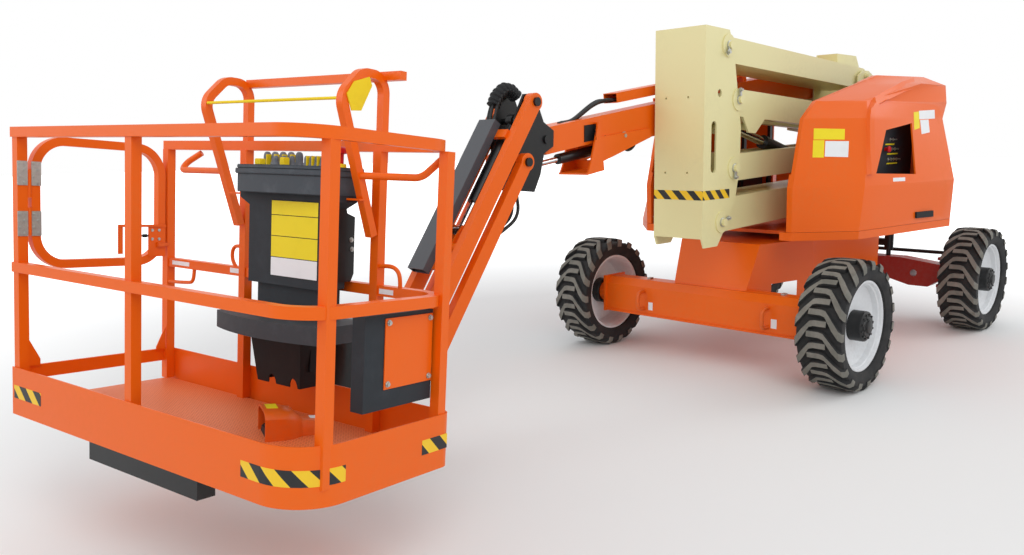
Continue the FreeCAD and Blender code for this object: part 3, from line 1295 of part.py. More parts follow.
def guard_hoops():
    rear, front, half = platform_limits()
    tube = float(s.hooptube)
    top = float(s.hooptop)
    root = float(s.hooproot)
    square = float(s.railsquare)
    back = rear + 1 + square / 2
    foot = rear + float(s.toewall) + 1 + square + tube / 2 + 0.3
    reach = foot + float(s.hoopreach)
    knee = top - float(s.hoopdrop)
    shapes = []
    for y in (float(s.rearpostleft), float(s.rearpostright)):
        points = [V(foot, y, root), V(reach, y, knee), V(reach - float(s.hoopdrop), y, top), V(back, y, top), V(back, y, float(s.railtop))]
        shapes.append(square_tube(fillet_path(points, float(s.hoopcorner)), tube))
    wide = float(s.rearpostright) - float(s.rearpostleft)
    bar = Part.makeBox(tube, wide + float(s.tubebeyond), tube)
    bar.translate(V(back - tube / 2, float(s.rearpostleft), top - tube / 2))
    shapes.append(bar)
    grip = float(s.handlegrip)
    leg = foot + float(s.hoopreach) * (grip - root) / (knee - root)
    rail = float(s.railtop) - square / 2
    left, right = float(s.rearpostleft), float(s.rearpostright)
    ends = ((left, -float(s.handlereach), -float(s.handlejoin), 40), (right, float(s.handleright) - 60, float(s.handleright), 60))
    for start, bend, join, radius in ends:
        points = [V(leg, start, grip), V((leg + back) / 2, bend, grip), V(back, join, rail - square / 2 - float(s.handledrop))]
        shapes.append(round_tube(fillet_path(points, radius), float(s.handletube)))
    platform_node("guard_hoops", feature("Hoops", shapes[0].multiFuse(shapes[1:])))
    slack = knee - float(s.cabledrop)
    x = foot + float(s.hoopreach) * (slack - root) / (knee - root)
    cable = Part.makeCylinder(float(s.cableradius), wide - tube - 0.6, V(x, float(s.rearpostleft) + tube / 2 + 0.3, slack), V(0, 1, 0))
    platform_node("guard_cable", feature("Cable", cable))


def square_tube(path, side):
    """A solid bar of square section along a path that starts upright or level."""
    start = path.Edges[0].Vertexes[0].Point
    ahead = (path.Edges[0].Vertexes[-1].Point - start).normalize()
    across = V(0, 1, 0) if abs(ahead.y) < 0.5 else V(0, 0, 1)
    other = ahead.cross(across).normalize()
    corners = [start + across * (a * side / 2) + other * (b * side / 2) for a, b in ((1, 1), (-1, 1), (-1, -1), (1, -1), (1, 1))]
    return path.makePipeShell([Part.makePolygon(corners)], True, False)


def round_tube(path, radius):
    """A solid bar of round section along a path."""
    start = path.Edges[0].Vertexes[0].Point
    ahead = path.Edges[0].Vertexes[-1].Point - start
    return path.makePipeShell([Part.Wire(Part.makeCircle(radius, start, ahead))], True, False)


def fillet_path(points, radius):
    edges = []
    last = points[0]
    for i in range(1, len(points) - 1):
        a = (points[i - 1] - points[i]).normalize()
        b = (points[i + 1] - points[i]).normalize()
        half = a.getAngle(b) / 2
        back = radius / math.tan(half)
        start, end = points[i] + a * back, points[i] + b * back
        middle = points[i] + (a + b).normalize() * (radius / math.sin(half) - radius)
        edges += [Part.LineSegment(last, start).toShape(), Part.Arc(start, middle, end).toShape()]
        last = end
    edges.append(Part.LineSegment(last, points[-1]).toShape())
    return Part.Wire(edges)


def gate():
    rear, front, half = platform_limits()
    tube = float(s.gatetube)
    square = float(s.railsquare)
    y = -half + square / 2 + 1
    hinge = gate_hinge()
    rear_x = rear + square + float(s.toewall) + float(s.gategap) + tube / 2
    hinge_x = hinge.x - float(s.knuckleradius) - 1 - tube / 2
    low, high = float(s.gatelow), float(s.gatehigh)
    middle = (rear_x + hinge_x) / 2
    points = [V(middle, y, low), V(hinge_x, y, low), V(hinge_x, y, high), V(rear_x, y, high), V(rear_x, y, low), V(middle, y, low)]
    frame = [square_tube(fillet_path(points, float(s.gatecorner)), tube)]
    for z in (low + float(s.gatecorner), high - float(s.gatecorner) - float(s.gatehingehigh)):
        frame.append(Part.makeCylinder(float(s.knuckleradius), float(s.gatehingehigh), V(hinge.x, hinge.y, z)))
        leaf = Part.makeBox(hinge.x - hinge_x - tube / 2 + 1, 6, float(s.gatehingehigh))
        leaf.translate(V(hinge_x + tube / 2 - 1, hinge.y - 6, z))
        frame.append(leaf)
    platform_node("gate", feature("Gate", frame[0].multiFuse(frame[1:])))


def gate_hinge():
    """The gate's hinge line, beside the front left post at the gate's inner face."""
    rear, front, half = platform_limits()
    square = float(s.railsquare)
    post_face = front - 1 - float(s.toewall) - square
    return V(post_face - 0.3 - float(s.knuckleradius), -half + square / 2 + 1 + float(s.gatetube) / 2, 0)


def bowed(x0, x1, y0, y1, bow, low, high):
    """A block whose front bulges in an arc."""
    corners = [V(x1, y0, low), V(x0, y0, low), V(x0, y1, low), V(x1, y1, low)]
    edges = [Part.LineSegment(a, b).toShape() for a, b in zip(corners, corners[1:])]
    edges.append(Part.Arc(corners[3], V(x1 + bow, (y0 + y1) / 2, low), corners[0]).toShape())
    return Part.Face(Part.Wire(edges)).extrude(V(0, 0, high - low))


def console():
    rear, front, half = platform_limits()
    yc = float(s.consolecentre)
    x0, x1 = float(s.consolerear), float(s.consolefront)
    wide, flare = float(s.consolewide) / 2, float(s.consoleflare)
    low, shoulder, top = float(s.consolebottom), float(s.consoleshoulder), float(s.lidbottom)
    outline_points = [(-wide, low), (wide, low), (wide, shoulder), (wide + flare, shoulder + flare / 2), (wide + flare, top + 1),
                      (-wide - flare, top + 1), (-wide - flare, shoulder + flare / 2), (-wide, shoulder)]
    corners = [V(x0, yc + y, z) for y, z in outline_points]
    body = Part.Face(Part.makePolygon(corners + corners[:1])).extrude(V(x1 - x0, 0, 0))
    half_lid = float(s.lidwide) / 2
    lid = bowed(float(s.lidrear), float(s.lidfront), yc - half_lid, yc + half_lid, float(s.lidbow), top, float(s.lidtop))
    neck = Part.makeBox(x1 - x0 - 30, float(s.consoleneck), low - float(s.shelftop) + 0.7)
    neck.translate(V(x0, yc - float(s.consoleneck) / 2, float(s.shelftop) + 0.3))
    platform_node("console", feature("Console", body.multiFuse([lid, neck])))
    tray_x = rear + float(s.toewall) + 1.3 + float(s.railsquare)
    tray_half = float(s.shelfwide) / 2
    tray_low = float(s.shelftop) - float(s.shelfthick)
    tray = bowed(tray_x, float(s.shelffront), yc - tray_half, yc + tray_half, float(s.shelfbow), tray_low, float(s.shelftop))
    platform_node("work_tray", feature("WorkTray", tray))
    wires = []
    for z, less in ((float(s.boxbottom), float(s.boxtaper)), (tray_low - 0.3, 0.0)):
        y = float(s.boxwide) / 2 - less
        rear_x, front_x = float(s.boxrear), float(s.boxfront) - less
        points = [V(rear_x, yc - y, z), V(front_x, yc - y, z), V(front_x, yc + y, z), V(rear_x, yc + y, z)]
        wires.append(Part.makePolygon(points + points[:1]))
    platform_node("tool_box", feature("ToolBox", Part.makeLoft(wires, True, True)))
    pedal = Part.makeBox(float(s.pedalwide), float(s.pedallong), float(s.pedalhigh))
    pedal.translate(V(float(s.pedalx), float(s.pedaly) - float(s.pedallong) / 2, float(s.floorheight) + 0.3))
    platform_node("foot_switch", feature("FootSwitch", pedal))
    book = Part.makeBox(float(s.bookwide), float(s.bookdeep), float(s.booktop) - float(s.bookbottom))
    book.translate(V(rear + float(s.bookrear), half - float(s.railsquare) - 1.3 - float(s.bookdeep), float(s.bookbottom)))
    platform_node("document_box", feature("DocumentBox", book))


def local_to_world(x, z):
    """A point of the boom's own frame, in the machine's frame."""
    slope = s.boomslope
    return (s.pivotx + x * cosine(slope) + z * sine(slope), s.pivotz - x * sine(slope) + z * cosine(slope))


def tower_ram():
    """The ends of the tower's lift ram: on the lower boom and under the upper link."""
    lower = s.lowerdroop
    rear = (s.pinfourx - s.armlength * cosine(lower), s.pinfourz + s.armlength * sine(lower))
    along, above = s.towerbarrelx, s.boomfourtop + s.towerbarrelz
    start = (rear[0] + along * cosine(lower) + above * sine(lower), rear[1] - along * sine(lower) + above * cosine(lower))
    return start, (s.towerlugx, s.towerlugz)


wheels()
chassis()
tie_down_lugs()
steer_axle()
knuckles()
lockout_cylinders()
turntable()
counterweight()
hoods()
tower()
upright()
upper_upright()
main_boom()
jib_bracket()
jib_arms()
carrier()
platform_frame()
guard_hoops()
gate()
console()

def rams():
    start, end = tower_ram()
    ram("tower", start, end, (s.towercylradius, s.towerrodradius, s.pinradius, s.towercylradius), s.towercentre, s.towereye, 0.7, s.ramspare)
    end = local_to_world(s.lifteyex, -(s.basebottom + s.lifteyedrop))
    ram("lift", (s.liftfootx, s.liftfootz), end, (s.liftradius, s.liftrodradius, s.pinradius, s.liftradius), s.boomcentre, s.lifteye, 0.78, s.ramspare)
    start = local_to_world(s.levelbackx, s.levelbackz)
    ram("level", start, (s.levelpinx, s.levelpinz), (s.levelradius, s.levelrodradius, s.levelpinradius, s.leveleyeradius), s.boomcentre, s.leveleye, 0.6, s.levelstroke)
    end = jib_point((s.jibtopx, s.jibtopz), s.jibeyex, s.jibeyez, s.jibslope)
    ram("jib", jib_root(), end, (s.jibcylradius, s.jibrodradius, s.jibpinradius, s.jibcylradius), s.boomcentre, s.jibeye, 0.74, s.ramspare)


rams()
doc.recompute()


def check_and_write():
    for obj in doc.Objects:
        if "Invalid" in obj.State or "Error" in obj.State:
            raise RuntimeError(f"{obj.Name} failed to build")
    names = [obj.Label for obj in nodes]
    if len(set(names)) != len(names):
        raise RuntimeError("two sub-parts share a name")
    for obj in nodes:
        shape = obj.Shape
        if shape.isNull() or not shape.isValid() or not shape.Solids:
            raise RuntimeError(f"{obj.Label} has no valid solid")
    for obj in nodes:
        obj.Shape.exportStep(f"parts/{obj.Label}.step")
        print(f"{obj.Label}: {len(obj.Shape.Solids)} solid(s), {obj.Shape.Volume / 1e9:.5f} cubic metres")


check_and_write()
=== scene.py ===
import math

import bmesh
import bpy
from mathutils import Matrix, Vector


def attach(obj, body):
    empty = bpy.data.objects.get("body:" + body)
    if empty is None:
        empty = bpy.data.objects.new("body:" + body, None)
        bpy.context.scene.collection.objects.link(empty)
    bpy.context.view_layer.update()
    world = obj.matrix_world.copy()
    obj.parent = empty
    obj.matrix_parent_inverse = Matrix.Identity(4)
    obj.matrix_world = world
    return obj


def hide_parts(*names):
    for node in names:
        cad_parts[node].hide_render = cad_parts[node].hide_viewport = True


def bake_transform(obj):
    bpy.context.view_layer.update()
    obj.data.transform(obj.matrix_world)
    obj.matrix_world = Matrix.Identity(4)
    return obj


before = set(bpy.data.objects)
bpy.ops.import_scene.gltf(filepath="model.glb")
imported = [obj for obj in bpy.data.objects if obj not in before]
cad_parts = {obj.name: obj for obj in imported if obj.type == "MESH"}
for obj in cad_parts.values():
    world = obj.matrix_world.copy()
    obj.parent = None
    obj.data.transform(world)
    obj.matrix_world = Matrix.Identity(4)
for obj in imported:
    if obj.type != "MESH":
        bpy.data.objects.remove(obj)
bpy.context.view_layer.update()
print("frame loaded:", len(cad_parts), "nodes")


camera = {
    "eye": (4.587, 3.3726, 1.6262),  # where the lens stands, in metres
    "yaw": -0.7944,  # radians, 0 looks along -X
    "pitch": -0.1663,
    "roll": -0.0177,
    "lens": 30.04,
    "lift": 0.0083,  # how far the frame sits above the lens axis
}


def placeCamera(values):
    yaw, pitch, roll = values["yaw"], values["pitch"], values["roll"]
    ahead = Vector((-math.cos(yaw) * math.cos(pitch), math.sin(yaw) * math.cos(pitch), math.sin(pitch)))
    level = ahead.cross(Vector((0, 0, 1))).normalized()
    upright = level.cross(ahead)
    right = level * math.cos(roll) + upright * math.sin(roll)
    top = upright * math.cos(roll) - level * math.sin(roll)
    data = bpy.data.cameras.new("photoCamera")
    data.sensor_width = 36
    data.lens = values["lens"]
    data.shift_y = values["lift"]
    data.clip_start, data.clip_end = 0.05, 200
    eye = bpy.data.objects.new("photoCamera", data)
    turn = Matrix((right, top, -ahead)).transposed().to_4x4()
    eye.matrix_world = Matrix.Translation(values["eye"]) @ turn
    bpy.context.collection.objects.link(eye)
    bpy.context.scene.camera = eye


placeCamera(camera)
bpy.context.scene.view_settings.view_transform = "Standard"


def linearColour(code):
    # sRGB hex to the linear values that the shaders take
    values = []
    for start in (1, 3, 5):
        part = int(code[start:start + 2], 16) / 255
        values.append(part / 12.92 if part <= 0.04045 else ((part + 0.055) / 1.055) ** 2.4)
    return (*values, 1.0)


def addNode(tree, kind, inputs=None, **settings):
    # adds a node, sets its settings and fills its sockets with values or links
    made = tree.nodes.new(kind)
    for name, value in settings.items():
        setattr(made, name, value)
    for key, value in (inputs or {}).items():
        socket = made.inputs[key]
        if isinstance(value, bpy.types.NodeSocket):
            tree.links.new(value, socket)
        else:
            socket.default_value = value
    return made


def startMaterial(name, shader):
    made = bpy.data.materials.new(name)
    made.use_nodes = True
    tree = made.node_tree
    tree.nodes.clear()
    body = addNode(tree, "ShaderNodeBsdfPrincipled", shader)
    addNode(tree, "ShaderNodeOutputMaterial", {"Surface": body.outputs[0]})
    place = addNode(tree, "ShaderNodeTexCoord")
    return made, tree, body, place


def mixColour(tree, amount, first, second):
    return addNode(tree, "ShaderNodeMix", {0: amount, 6: first, 7: second}, data_type="RGBA").outputs[2]


def spreadValue(tree, value, low, high, newLow=0.0, newHigh=1.0):
    return addNode(tree, "ShaderNodeMapRange", {0: value, 1: low, 2: high, 3: newLow, 4: newHigh}).outputs[0]


stage = {"floor": "#EDEDEB", "reach": 60.0, "sky": "#F4F6FA", "skyStrength": 0.79}


def makeStage(values):
    ground = bpy.data.meshes.new("studioFloor")
    reach = values["reach"]
    ground.from_pydata([(-reach, -reach, 0), (reach, -reach, 0), (reach, reach, 0), (-reach, reach, 0)], [], [(0, 1, 2, 3)])
    floor = bpy.data.objects.new("studioFloor", ground)
    bpy.context.collection.objects.link(floor)
    made, tree, body, place = startMaterial("paleStudioFloor", {"Roughness": 0.9, "Base Color": linearColour(values["floor"])})
    ground.materials.append(made)
    away = addNode(tree, "ShaderNodeVectorMath", {0: place.outputs["Object"]}, operation="LENGTH")
    ray = addNode(tree, "ShaderNodeLightPath")
    far = addNode(tree, "ShaderNodeMath", {0: spreadValue(tree, away.outputs["Value"], 3.5, 11.0), 1: ray.outputs["Is Camera Ray"]}, operation="MULTIPLY")
    tree.links.new(far.outputs[0], body.inputs["Emission Strength"])
    body.inputs["Emission Color"].default_value = (1, 1, 1, 1)
    world = bpy.data.worlds.new("softStudio")
    bpy.context.scene.world = world
    world.use_nodes = True
    tree = world.node_tree
    tree.nodes.clear()
    ray = addNode(tree, "ShaderNodeLightPath")
    straight = addNode(tree, "ShaderNodeMath", {0: ray.outputs["Is Camera Ray"], 1: ray.outputs["Is Transmission Ray"]}, operation="MAXIMUM")
    seen = addNode(tree, "ShaderNodeMath", {0: straight.outputs[0], 1: ray.outputs["Is Glossy Ray"]}, operation="MAXIMUM")
    glow = addNode(tree, "ShaderNodeBackground", {"Color": linearColour(values["sky"]), "Strength": values["skyStrength"]})
    white = addNode(tree, "ShaderNodeBackground", {"Color": (1, 1, 1, 1), "Strength": 1.0})
    both = addNode(tree, "ShaderNodeMixShader", {0: seen.outputs[0], 1: glow.outputs[0], 2: white.outputs[0]})
    addNode(tree, "ShaderNodeOutputWorld", {"Surface": both.outputs[0]})


makeStage(stage)

lamps = (
    # name, place, aims at, width, watts
    ("keyLamp", (5.0, 5.5, 6.5), (0.5, 0.0, 1.0), 4.5, 175),
    ("fillLamp", (7.5, -3.5, 4.5), (1.0, 0.0, 1.0), 4.0, 85),
    ("rearLamp", (-6.5, 4.5, 5.5), (-1.0, 0.0, 1.2), 4.0, 100),
)
for name, place, aim, width, watts in lamps:
    lampData = bpy.data.lights.new(name, "AREA")
    lampData.size = width
    lampData.energy = watts
    lamp = bpy.data.objects.new(name, lampData)
    lamp.location = place
    lamp.rotation_euler = (Vector(aim) - Vector(place)).to_track_quat("-Z", "Y").to_euler()
    bpy.context.collection.objects.link(lamp)
print("camera, floor and lamps placed")


def enamelPaint(name, colour, dusty, roughness=0.34, dust=0.25, coat=0.25):
    # sprayed enamel on steel: even colour, soft gloss, faint orange peel, road dust that settles in cloudy patches
    made, tree, body, place = startMaterial(name, {"Roughness": roughness, "Coat Weight": coat, "Coat Roughness": 0.18, "Specular IOR Level": 0.28})
    spot = place.outputs["Object"]
    cloud = addNode(tree, "ShaderNodeTexNoise", {"Vector": spot, "Scale": 2.3, "Detail": 6.0, "Roughness": 0.62})
    speck = addNode(tree, "ShaderNodeTexNoise", {"Vector": spot, "Scale": 34.0, "Detail": 5.0, "Roughness": 0.7})
    settled = addNode(tree, "ShaderNodeMath", {0: spreadValue(tree, cloud.outputs[0], 0.48, 0.75), 1: spreadValue(tree, speck.outputs[0], 0.4, 0.7)},
                      operation="MULTIPLY")
    low = addNode(tree, "ShaderNodeSeparateXYZ", {0: spot})
    grime = addNode(tree, "ShaderNodeMath", {0: spreadValue(tree, low.outputs[2], 0.9, 0.1), 1: spreadValue(tree, speck.outputs[0], 0.35, 0.75)},
                    operation="MULTIPLY")
    both = addNode(tree, "ShaderNodeMath", {0: settled.outputs[0], 1: grime.outputs[0]}, operation="MAXIMUM")
    amount = addNode(tree, "ShaderNodeMath", {0: both.outputs[0], 1: dust}, operation="MULTIPLY")
    shade = mixColour(tree, amount.outputs[0], linearColour(colour), linearColour(dusty))
    tree.links.new(shade, body.inputs["Base Color"])
    tree.links.new(spreadValue(tree, both.outputs[0], 0.0, 1.0, roughness, roughness + 0.25), body.inputs["Roughness"])
    peel = addNode(tree, "ShaderNodeTexNoise", {"Vector": spot, "Scale": 320.0, "Detail": 2.0})  # 3 mm orange peel
    bump = addNode(tree, "ShaderNodeBump", {"Strength": 0.05, "Distance": 0.001, "Height": peel.outputs[0]})
    tree.links.new(bump.outputs[0], body.inputs["Normal"])
    return made


def mouldedPlastic(name, colour, worn, roughness=0.55, grain=700.0):
    # moulded polyethylene or ABS: matt, fine spark-eroded grain, paler where hands rub it
    made, tree, body, place = startMaterial(name, {"Roughness": roughness, "IOR": 1.5, "Specular IOR Level": 0.3})
    spot = place.outputs["Object"]
    cloud = addNode(tree, "ShaderNodeTexNoise", {"Vector": spot, "Scale": 9.0, "Detail": 6.0, "Roughness": 0.65})
    shade = mixColour(tree, spreadValue(tree, cloud.outputs[0], 0.5, 0.85, 0.0, 0.5), linearColour(colour), linearColour(worn))
    tree.links.new(shade, body.inputs["Base Color"])
    tree.links.new(spreadValue(tree, cloud.outputs[0], 0.3, 0.8, roughness, roughness + 0.18), body.inputs["Roughness"])
    fine = addNode(tree, "ShaderNodeTexNoise", {"Vector": spot, "Scale": grain, "Detail": 2.0})
    bump = addNode(tree, "ShaderNodeBump", {"Strength": 0.12, "Distance": 0.0006, "Height": fine.outputs[0]})
    tree.links.new(bump.outputs[0], body.inputs["Normal"])
    return made


def vulcanisedRubber(name, colour, dusty, dust=0.55, roughness=0.82):
    # carbon-black rubber: matt, with pale dust rubbed into it
    made, tree, body, place = startMaterial(name, {"Roughness": roughness, "IOR": 1.52})
    spot = place.outputs["Object"]
    cloud = addNode(tree, "ShaderNodeTexNoise", {"Vector": spot, "Scale": 7.0, "Detail": 7.0, "Roughness": 0.7})
    amount = spreadValue(tree, cloud.outputs[0], 0.42, 0.8, 0.0, dust)
    tree.links.new(mixColour(tree, amount, linearColour(colour), linearColour(dusty)), body.inputs["Base Color"])
    fine = addNode(tree, "ShaderNodeTexNoise", {"Vector": spot, "Scale": 260.0, "Detail": 4.0})
    bump = addNode(tree, "ShaderNodeBump", {"Strength": 0.25, "Distance": 0.001, "Height": fine.outputs[0]})
    tree.links.new(bump.outputs[0], body.inputs["Normal"])
    return made


def bareMetal(name, colour, roughness=0.3, scratch=0.12):
    # plated or ground steel: metallic, with fine scratches that blur its highlights
    made, tree, body, place = startMaterial(name, {"Metallic": 1.0, "Roughness": roughness})
    spot = place.outputs["Object"]
    rubbed = addNode(tree, "ShaderNodeTexNoise", {"Vector": spot, "Scale": 60.0, "Detail": 6.0, "Roughness": 0.7})
    shade = mixColour(tree, spreadValue(tree, rubbed.outputs[0], 0.35, 0.8, 0.0, 0.6), linearColour(colour), linearColour("#8E9094"))
    tree.links.new(shade, body.inputs["Base Color"])
    tree.links.new(spreadValue(tree, rubbed.outputs[0], 0.3, 0.75, roughness, roughness + scratch), body.inputs["Roughness"])
    return made


def meshDeck(name, colour, holeShade, pitch=0.014, yaw=10.3):
    # expanded steel deck, painted: its holes are darker diamonds of painted shade, in rows between raised strands, 14
    # mm apart
    made, tree, body, place = startMaterial(name, {"Roughness": 0.5})
    turned = addNode(tree, "ShaderNodeMapping", {"Vector": place.outputs["Object"], "Rotation": (0, 0, math.radians(-yaw))})
    flat = addNode(tree, "ShaderNodeVectorMath", {0: turned.outputs[0], 1: (1 / pitch, 1 / pitch, 0)}, operation="MULTIPLY")
    cell = addNode(tree, "ShaderNodeTexVoronoi", {"Vector": flat.outputs[0], "Scale": 1.0, "Randomness": 0.0}, voronoi_dimensions="2D")
    hole = spreadValue(tree, cell.outputs["Distance"], 0.3, 0.36, 1.0, 0.0)
    # the holes get the darker colour: painted shade where the deck is open
    tree.links.new(mixColour(tree, hole, linearColour(colour), linearColour(holeShade)), body.inputs["Base Color"])
    bump = addNode(tree, "ShaderNodeBump", {"Strength": 0.8, "Distance": 0.003, "Height": spreadValue(tree, cell.outputs["Distance"], 0.25, 0.4)})
    tree.links.new(bump.outputs[0], body.inputs["Normal"])
    return made


def hazardTape(name, period=0.115, slant=1.0):
    # printed vinyl tape on its own UVs in metres: yellow and black bars at 45 degrees
    made, tree, body, place = startMaterial(name, {"Roughness": 0.42})
    split = addNode(tree, "ShaderNodeSeparateXYZ", {0: place.outputs["UV"]})
    leaned = addNode(tree, "ShaderNodeMath", {0: split.outputs[1], 1: slant, 2: split.outputs[0]}, operation="MULTIPLY_ADD")
    turns = addNode(tree, "ShaderNodeMath", {0: leaned.outputs[0], 1: period}, operation="DIVIDE")
    part = addNode(tree, "ShaderNodeMath", {0: turns.outputs[0]}, operation="FRACT")
    bar = addNode(tree, "ShaderNodeMath", {0: part.outputs[0], 1: 0.5}, operation="GREATER_THAN")
    tree.links.new(mixColour(tree, bar.outputs[0], linearColour("#F2C51B"), linearColour("#191A1C")), body.inputs["Base Color"])
    return made


orangePaint = enamelPaint("orangeEnamelOnSteel", "#EE6404", "#B98A5A", dust=0.15, coat=0.05)
castOrange = enamelPaint("orangeEnamelOnIron", "#E8620A", "#A5765A", roughness=0.45, dust=0.4)
creamPaint = enamelPaint("creamEnamelOnSteel", "#E6DDA4", "#A89C7C", dust=0.18)
redPaint = enamelPaint("redOxideAxlePaint", "#A01A0A", "#7A6A5A", dust=0.35)
blackPaint = enamelPaint("blackEnamelOnSteel", "#101113", "#4A4843", roughness=0.42, dust=0.25)
silverPaint = enamelPaint("silverWheelEnamel", "#E6E8EA", "#A8A49A", roughness=0.36, dust=0.3)
greyPaint = enamelPaint("greySatinCover", "#4A4D52", "#77777A", roughness=0.45)
tyreRubber = vulcanisedRubber("tyreRubber", "#17181A", "#4E4B46", dust=0.4)
treadRubber = vulcanisedRubber("dustyTreadRubber", "#6C6A62", "#98938A", dust=0.8)
hoseRubber = vulcanisedRubber("hydraulicHoseRubber", "#121314", "#45433F", dust=0.3, roughness=0.6)
greyRubber = vulcanisedRubber("greyRubberBoot", "#5A5E66", "#A0A4AA", dust=0.6, roughness=0.6)
lidPlastic = mouldedPlastic("greyMouldedLid", "#454C52", "#6E747A")
charcoalPlastic = mouldedPlastic("charcoalMouldedBody", "#282D32", "#43484E")
trayPlastic = mouldedPlastic("greyMouldedTray", "#3E4145", "#5C5F63")
blackPlastic = mouldedPlastic("blackMouldedPlastic", "#161719", "#2C2D30")
yellowPlastic = mouldedPlastic("yellowPolyethylene", "#F0D21C", "#D6B92A")
redPlastic = mouldedPlastic("redPushButton", "#C4161C", "#D5383A", roughness=0.3)
whiteVinyl = mouldedPlastic("whiteVinylPlate", "#EDEEEF", "#D8D9DA", roughness=0.4, grain=200.0)
yellowVinyl = mouldedPlastic("yellowVinylPlate", "#F3DD22", "#E0C92A", roughness=0.4, grain=200.0)
zincSteel = bareMetal("zincPlatedSteel", "#C9CBC6", 0.38)
chromeRod = bareMetal("hardChromeRod", "#DDDFE2", 0.14, 0.08)
# the deck's second colour is painted shade in its holes
deckMesh = meshDeck("expandedSteelDeck", "#F88A50", "#D0602C")
stripeTape = hazardTape("blackYellowTape")

nodeFinishes = {
    "tyre": tyreRubber, "wheel": silverPaint, "steer_axle": redPaint, "knuckle": redPaint, "tie_rod": blackPaint,
    "lockout": blackPaint, "slew_ring": blackPaint, "hood_rails": blackPaint, "engine_block": blackPaint,
    "counterweight": castOrange, "ground_controls": charcoalPlastic,
    "lower_tower": creamPaint, "tower_upright": creamPaint, "upper_tower": creamPaint, "upper_upright": creamPaint,
    "tower_barrel": blackPaint, "lift_barrel": blackPaint, "level_barrel": blackPaint, "jib_barrel": blackPaint,
    "tower_rod": chromeRod, "lift_rod": chromeRod, "level_rod": chromeRod, "jib_rod": chromeRod,
    "jib_bracket": blackPaint, "jib_carrier": blackPaint, "rotator": blackPaint, "platform_support": blackPaint,
    "jib_cover": greyPaint, "guard_cable": yellowPlastic, "platform_floor": deckMesh,
    "console": charcoalPlastic, "work_tray": trayPlastic, "tool_box": blackPlastic, "document_box": charcoalPlastic,
}
for name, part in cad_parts.items():
    finish = orangePaint
    for start, found in nodeFinishes.items():
        if name.startswith(start):
            finish = found
    part.data.materials.clear()
    part.data.materials.append(finish)
print("materials assigned")


def finishPiece(name, mesh, body, material, smooth=False):
    made = bpy.data.objects.new(name, mesh)
    bpy.context.collection.objects.link(made)
    if material:
        mesh.materials.clear()
        mesh.materials.append(material)
    for face in mesh.polygons:
        face.use_smooth = smooth
    if smooth:
        mesh.set_sharp_from_angle(angle=math.radians(38))
    if body:
        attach(made, body)
    return made


def meshFrom(bm, name):
    bmesh.ops.recalc_face_normals(bm, faces=bm.faces)
    made = bpy.data.meshes.new(name)
    bm.to_mesh(made)
    bm.free()
    return made


def addBlock(bm, low, high, place=None, bevel=0.0, segments=2):
    # a block between two corners, with its edges rounded, in its own frame
    middle = [(a + b) / 2 for a, b in zip(low, high)]
    size = [b - a for a, b in zip(low, high)]
    made = bmesh.ops.create_cube(bm, size=1.0, matrix=Matrix.Translation(middle) @ Matrix.Diagonal((*size, 1.0)))["verts"]
    if bevel:
        edges = {edge for vert in made for edge in vert.link_edges}
        rounded = bmesh.ops.bevel(bm, geom=list(edges), offset=bevel, segments=segments, affect="EDGES")
        made = list({vert for face in rounded["faces"] for vert in face.verts} | {vert for vert in made if vert.is_valid})
    if place is not None:
        bmesh.ops.transform(bm, matrix=place, verts=made)
    return made


def addPrism(bm, outline, along, place=None):
    # a flat outline of 3D points pushed along a vector
    base = [bm.verts.new(point) for point in outline]
    top = [bm.verts.new(Vector(point) + Vector(along)) for point in outline]
    bm.faces.new(base)
    bm.faces.new(top[::-1])
    count = len(base)
    for i in range(count):
        bm.faces.new((base[i], top[i], top[(i + 1) % count], base[(i + 1) % count]))
    if place is not None:
        bmesh.ops.transform(bm, matrix=place, verts=base + top)
    return base + top


def addRod(bm, start, end, radius, sides=16, place=None):
    start, end = Vector(start), Vector(end)
    turn = (end - start).to_track_quat("Z", "Y").to_matrix().to_4x4()
    matrix = Matrix.Translation((start + end) / 2) @ turn
    if place is not None:
        matrix = place @ matrix
    return bmesh.ops.create_cone(bm, cap_ends=True, segments=sides, radius1=radius, radius2=radius, depth=(end - start).length, matrix=matrix)["verts"]


def addLathe(bm, profile, place, sides=48):
    # a closed or axis-to-axis profile of (radius, height) in millimetres turned about Z, then put in place
    rings = []
    for radius, height in profile:
        if radius < 0.01:
            rings.append([bm.verts.new((0, 0, height / 1000))] * sides)
            continue
        turn = [2 * math.pi * i / sides for i in range(sides)]
        rings.append([bm.verts.new((radius * math.cos(a) / 1000, radius * math.sin(a) / 1000, height / 1000)) for a in turn])
    closed = profile[0][0] > 0.01
    for a, b in zip(rings, rings[1:] + (rings[:1] if closed else [])):
        for i in range(sides):
            j = (i + 1) % sides
            corners = list(dict.fromkeys((a[i], a[j], b[j], b[i])))
            if len(corners) > 2:
                bm.faces.new(corners)
    made = list({vert for ring in rings for vert in ring})
    bmesh.ops.transform(bm, matrix=place, verts=made)
    return made


def tubeMesh(name, routes, radius, sides=5):
    # smooth tubes through the given control points
    data = bpy.data.curves.new(name, "CURVE")
    data.dimensions = "3D"
    data.bevel_depth = radius
    data.bevel_resolution = sides
    data.use_fill_caps = True
    data.resolution_u = 10
    for route in routes:
        line = data.splines.new("NURBS")
        line.points.add(len(route) - 1)
        for point, spot in zip(line.points, route):
            point.co = (*spot, 1.0)
        line.order_u = 3
        line.use_endpoint_u = True
    drawn = bpy.data.objects.new(name, data)
    bpy.context.collection.objects.link(drawn)
    made = bpy.data.meshes.new_from_object(drawn.evaluated_get(bpy.context.evaluated_depsgraph_get()))
    bpy.data.objects.remove(drawn)
    return made


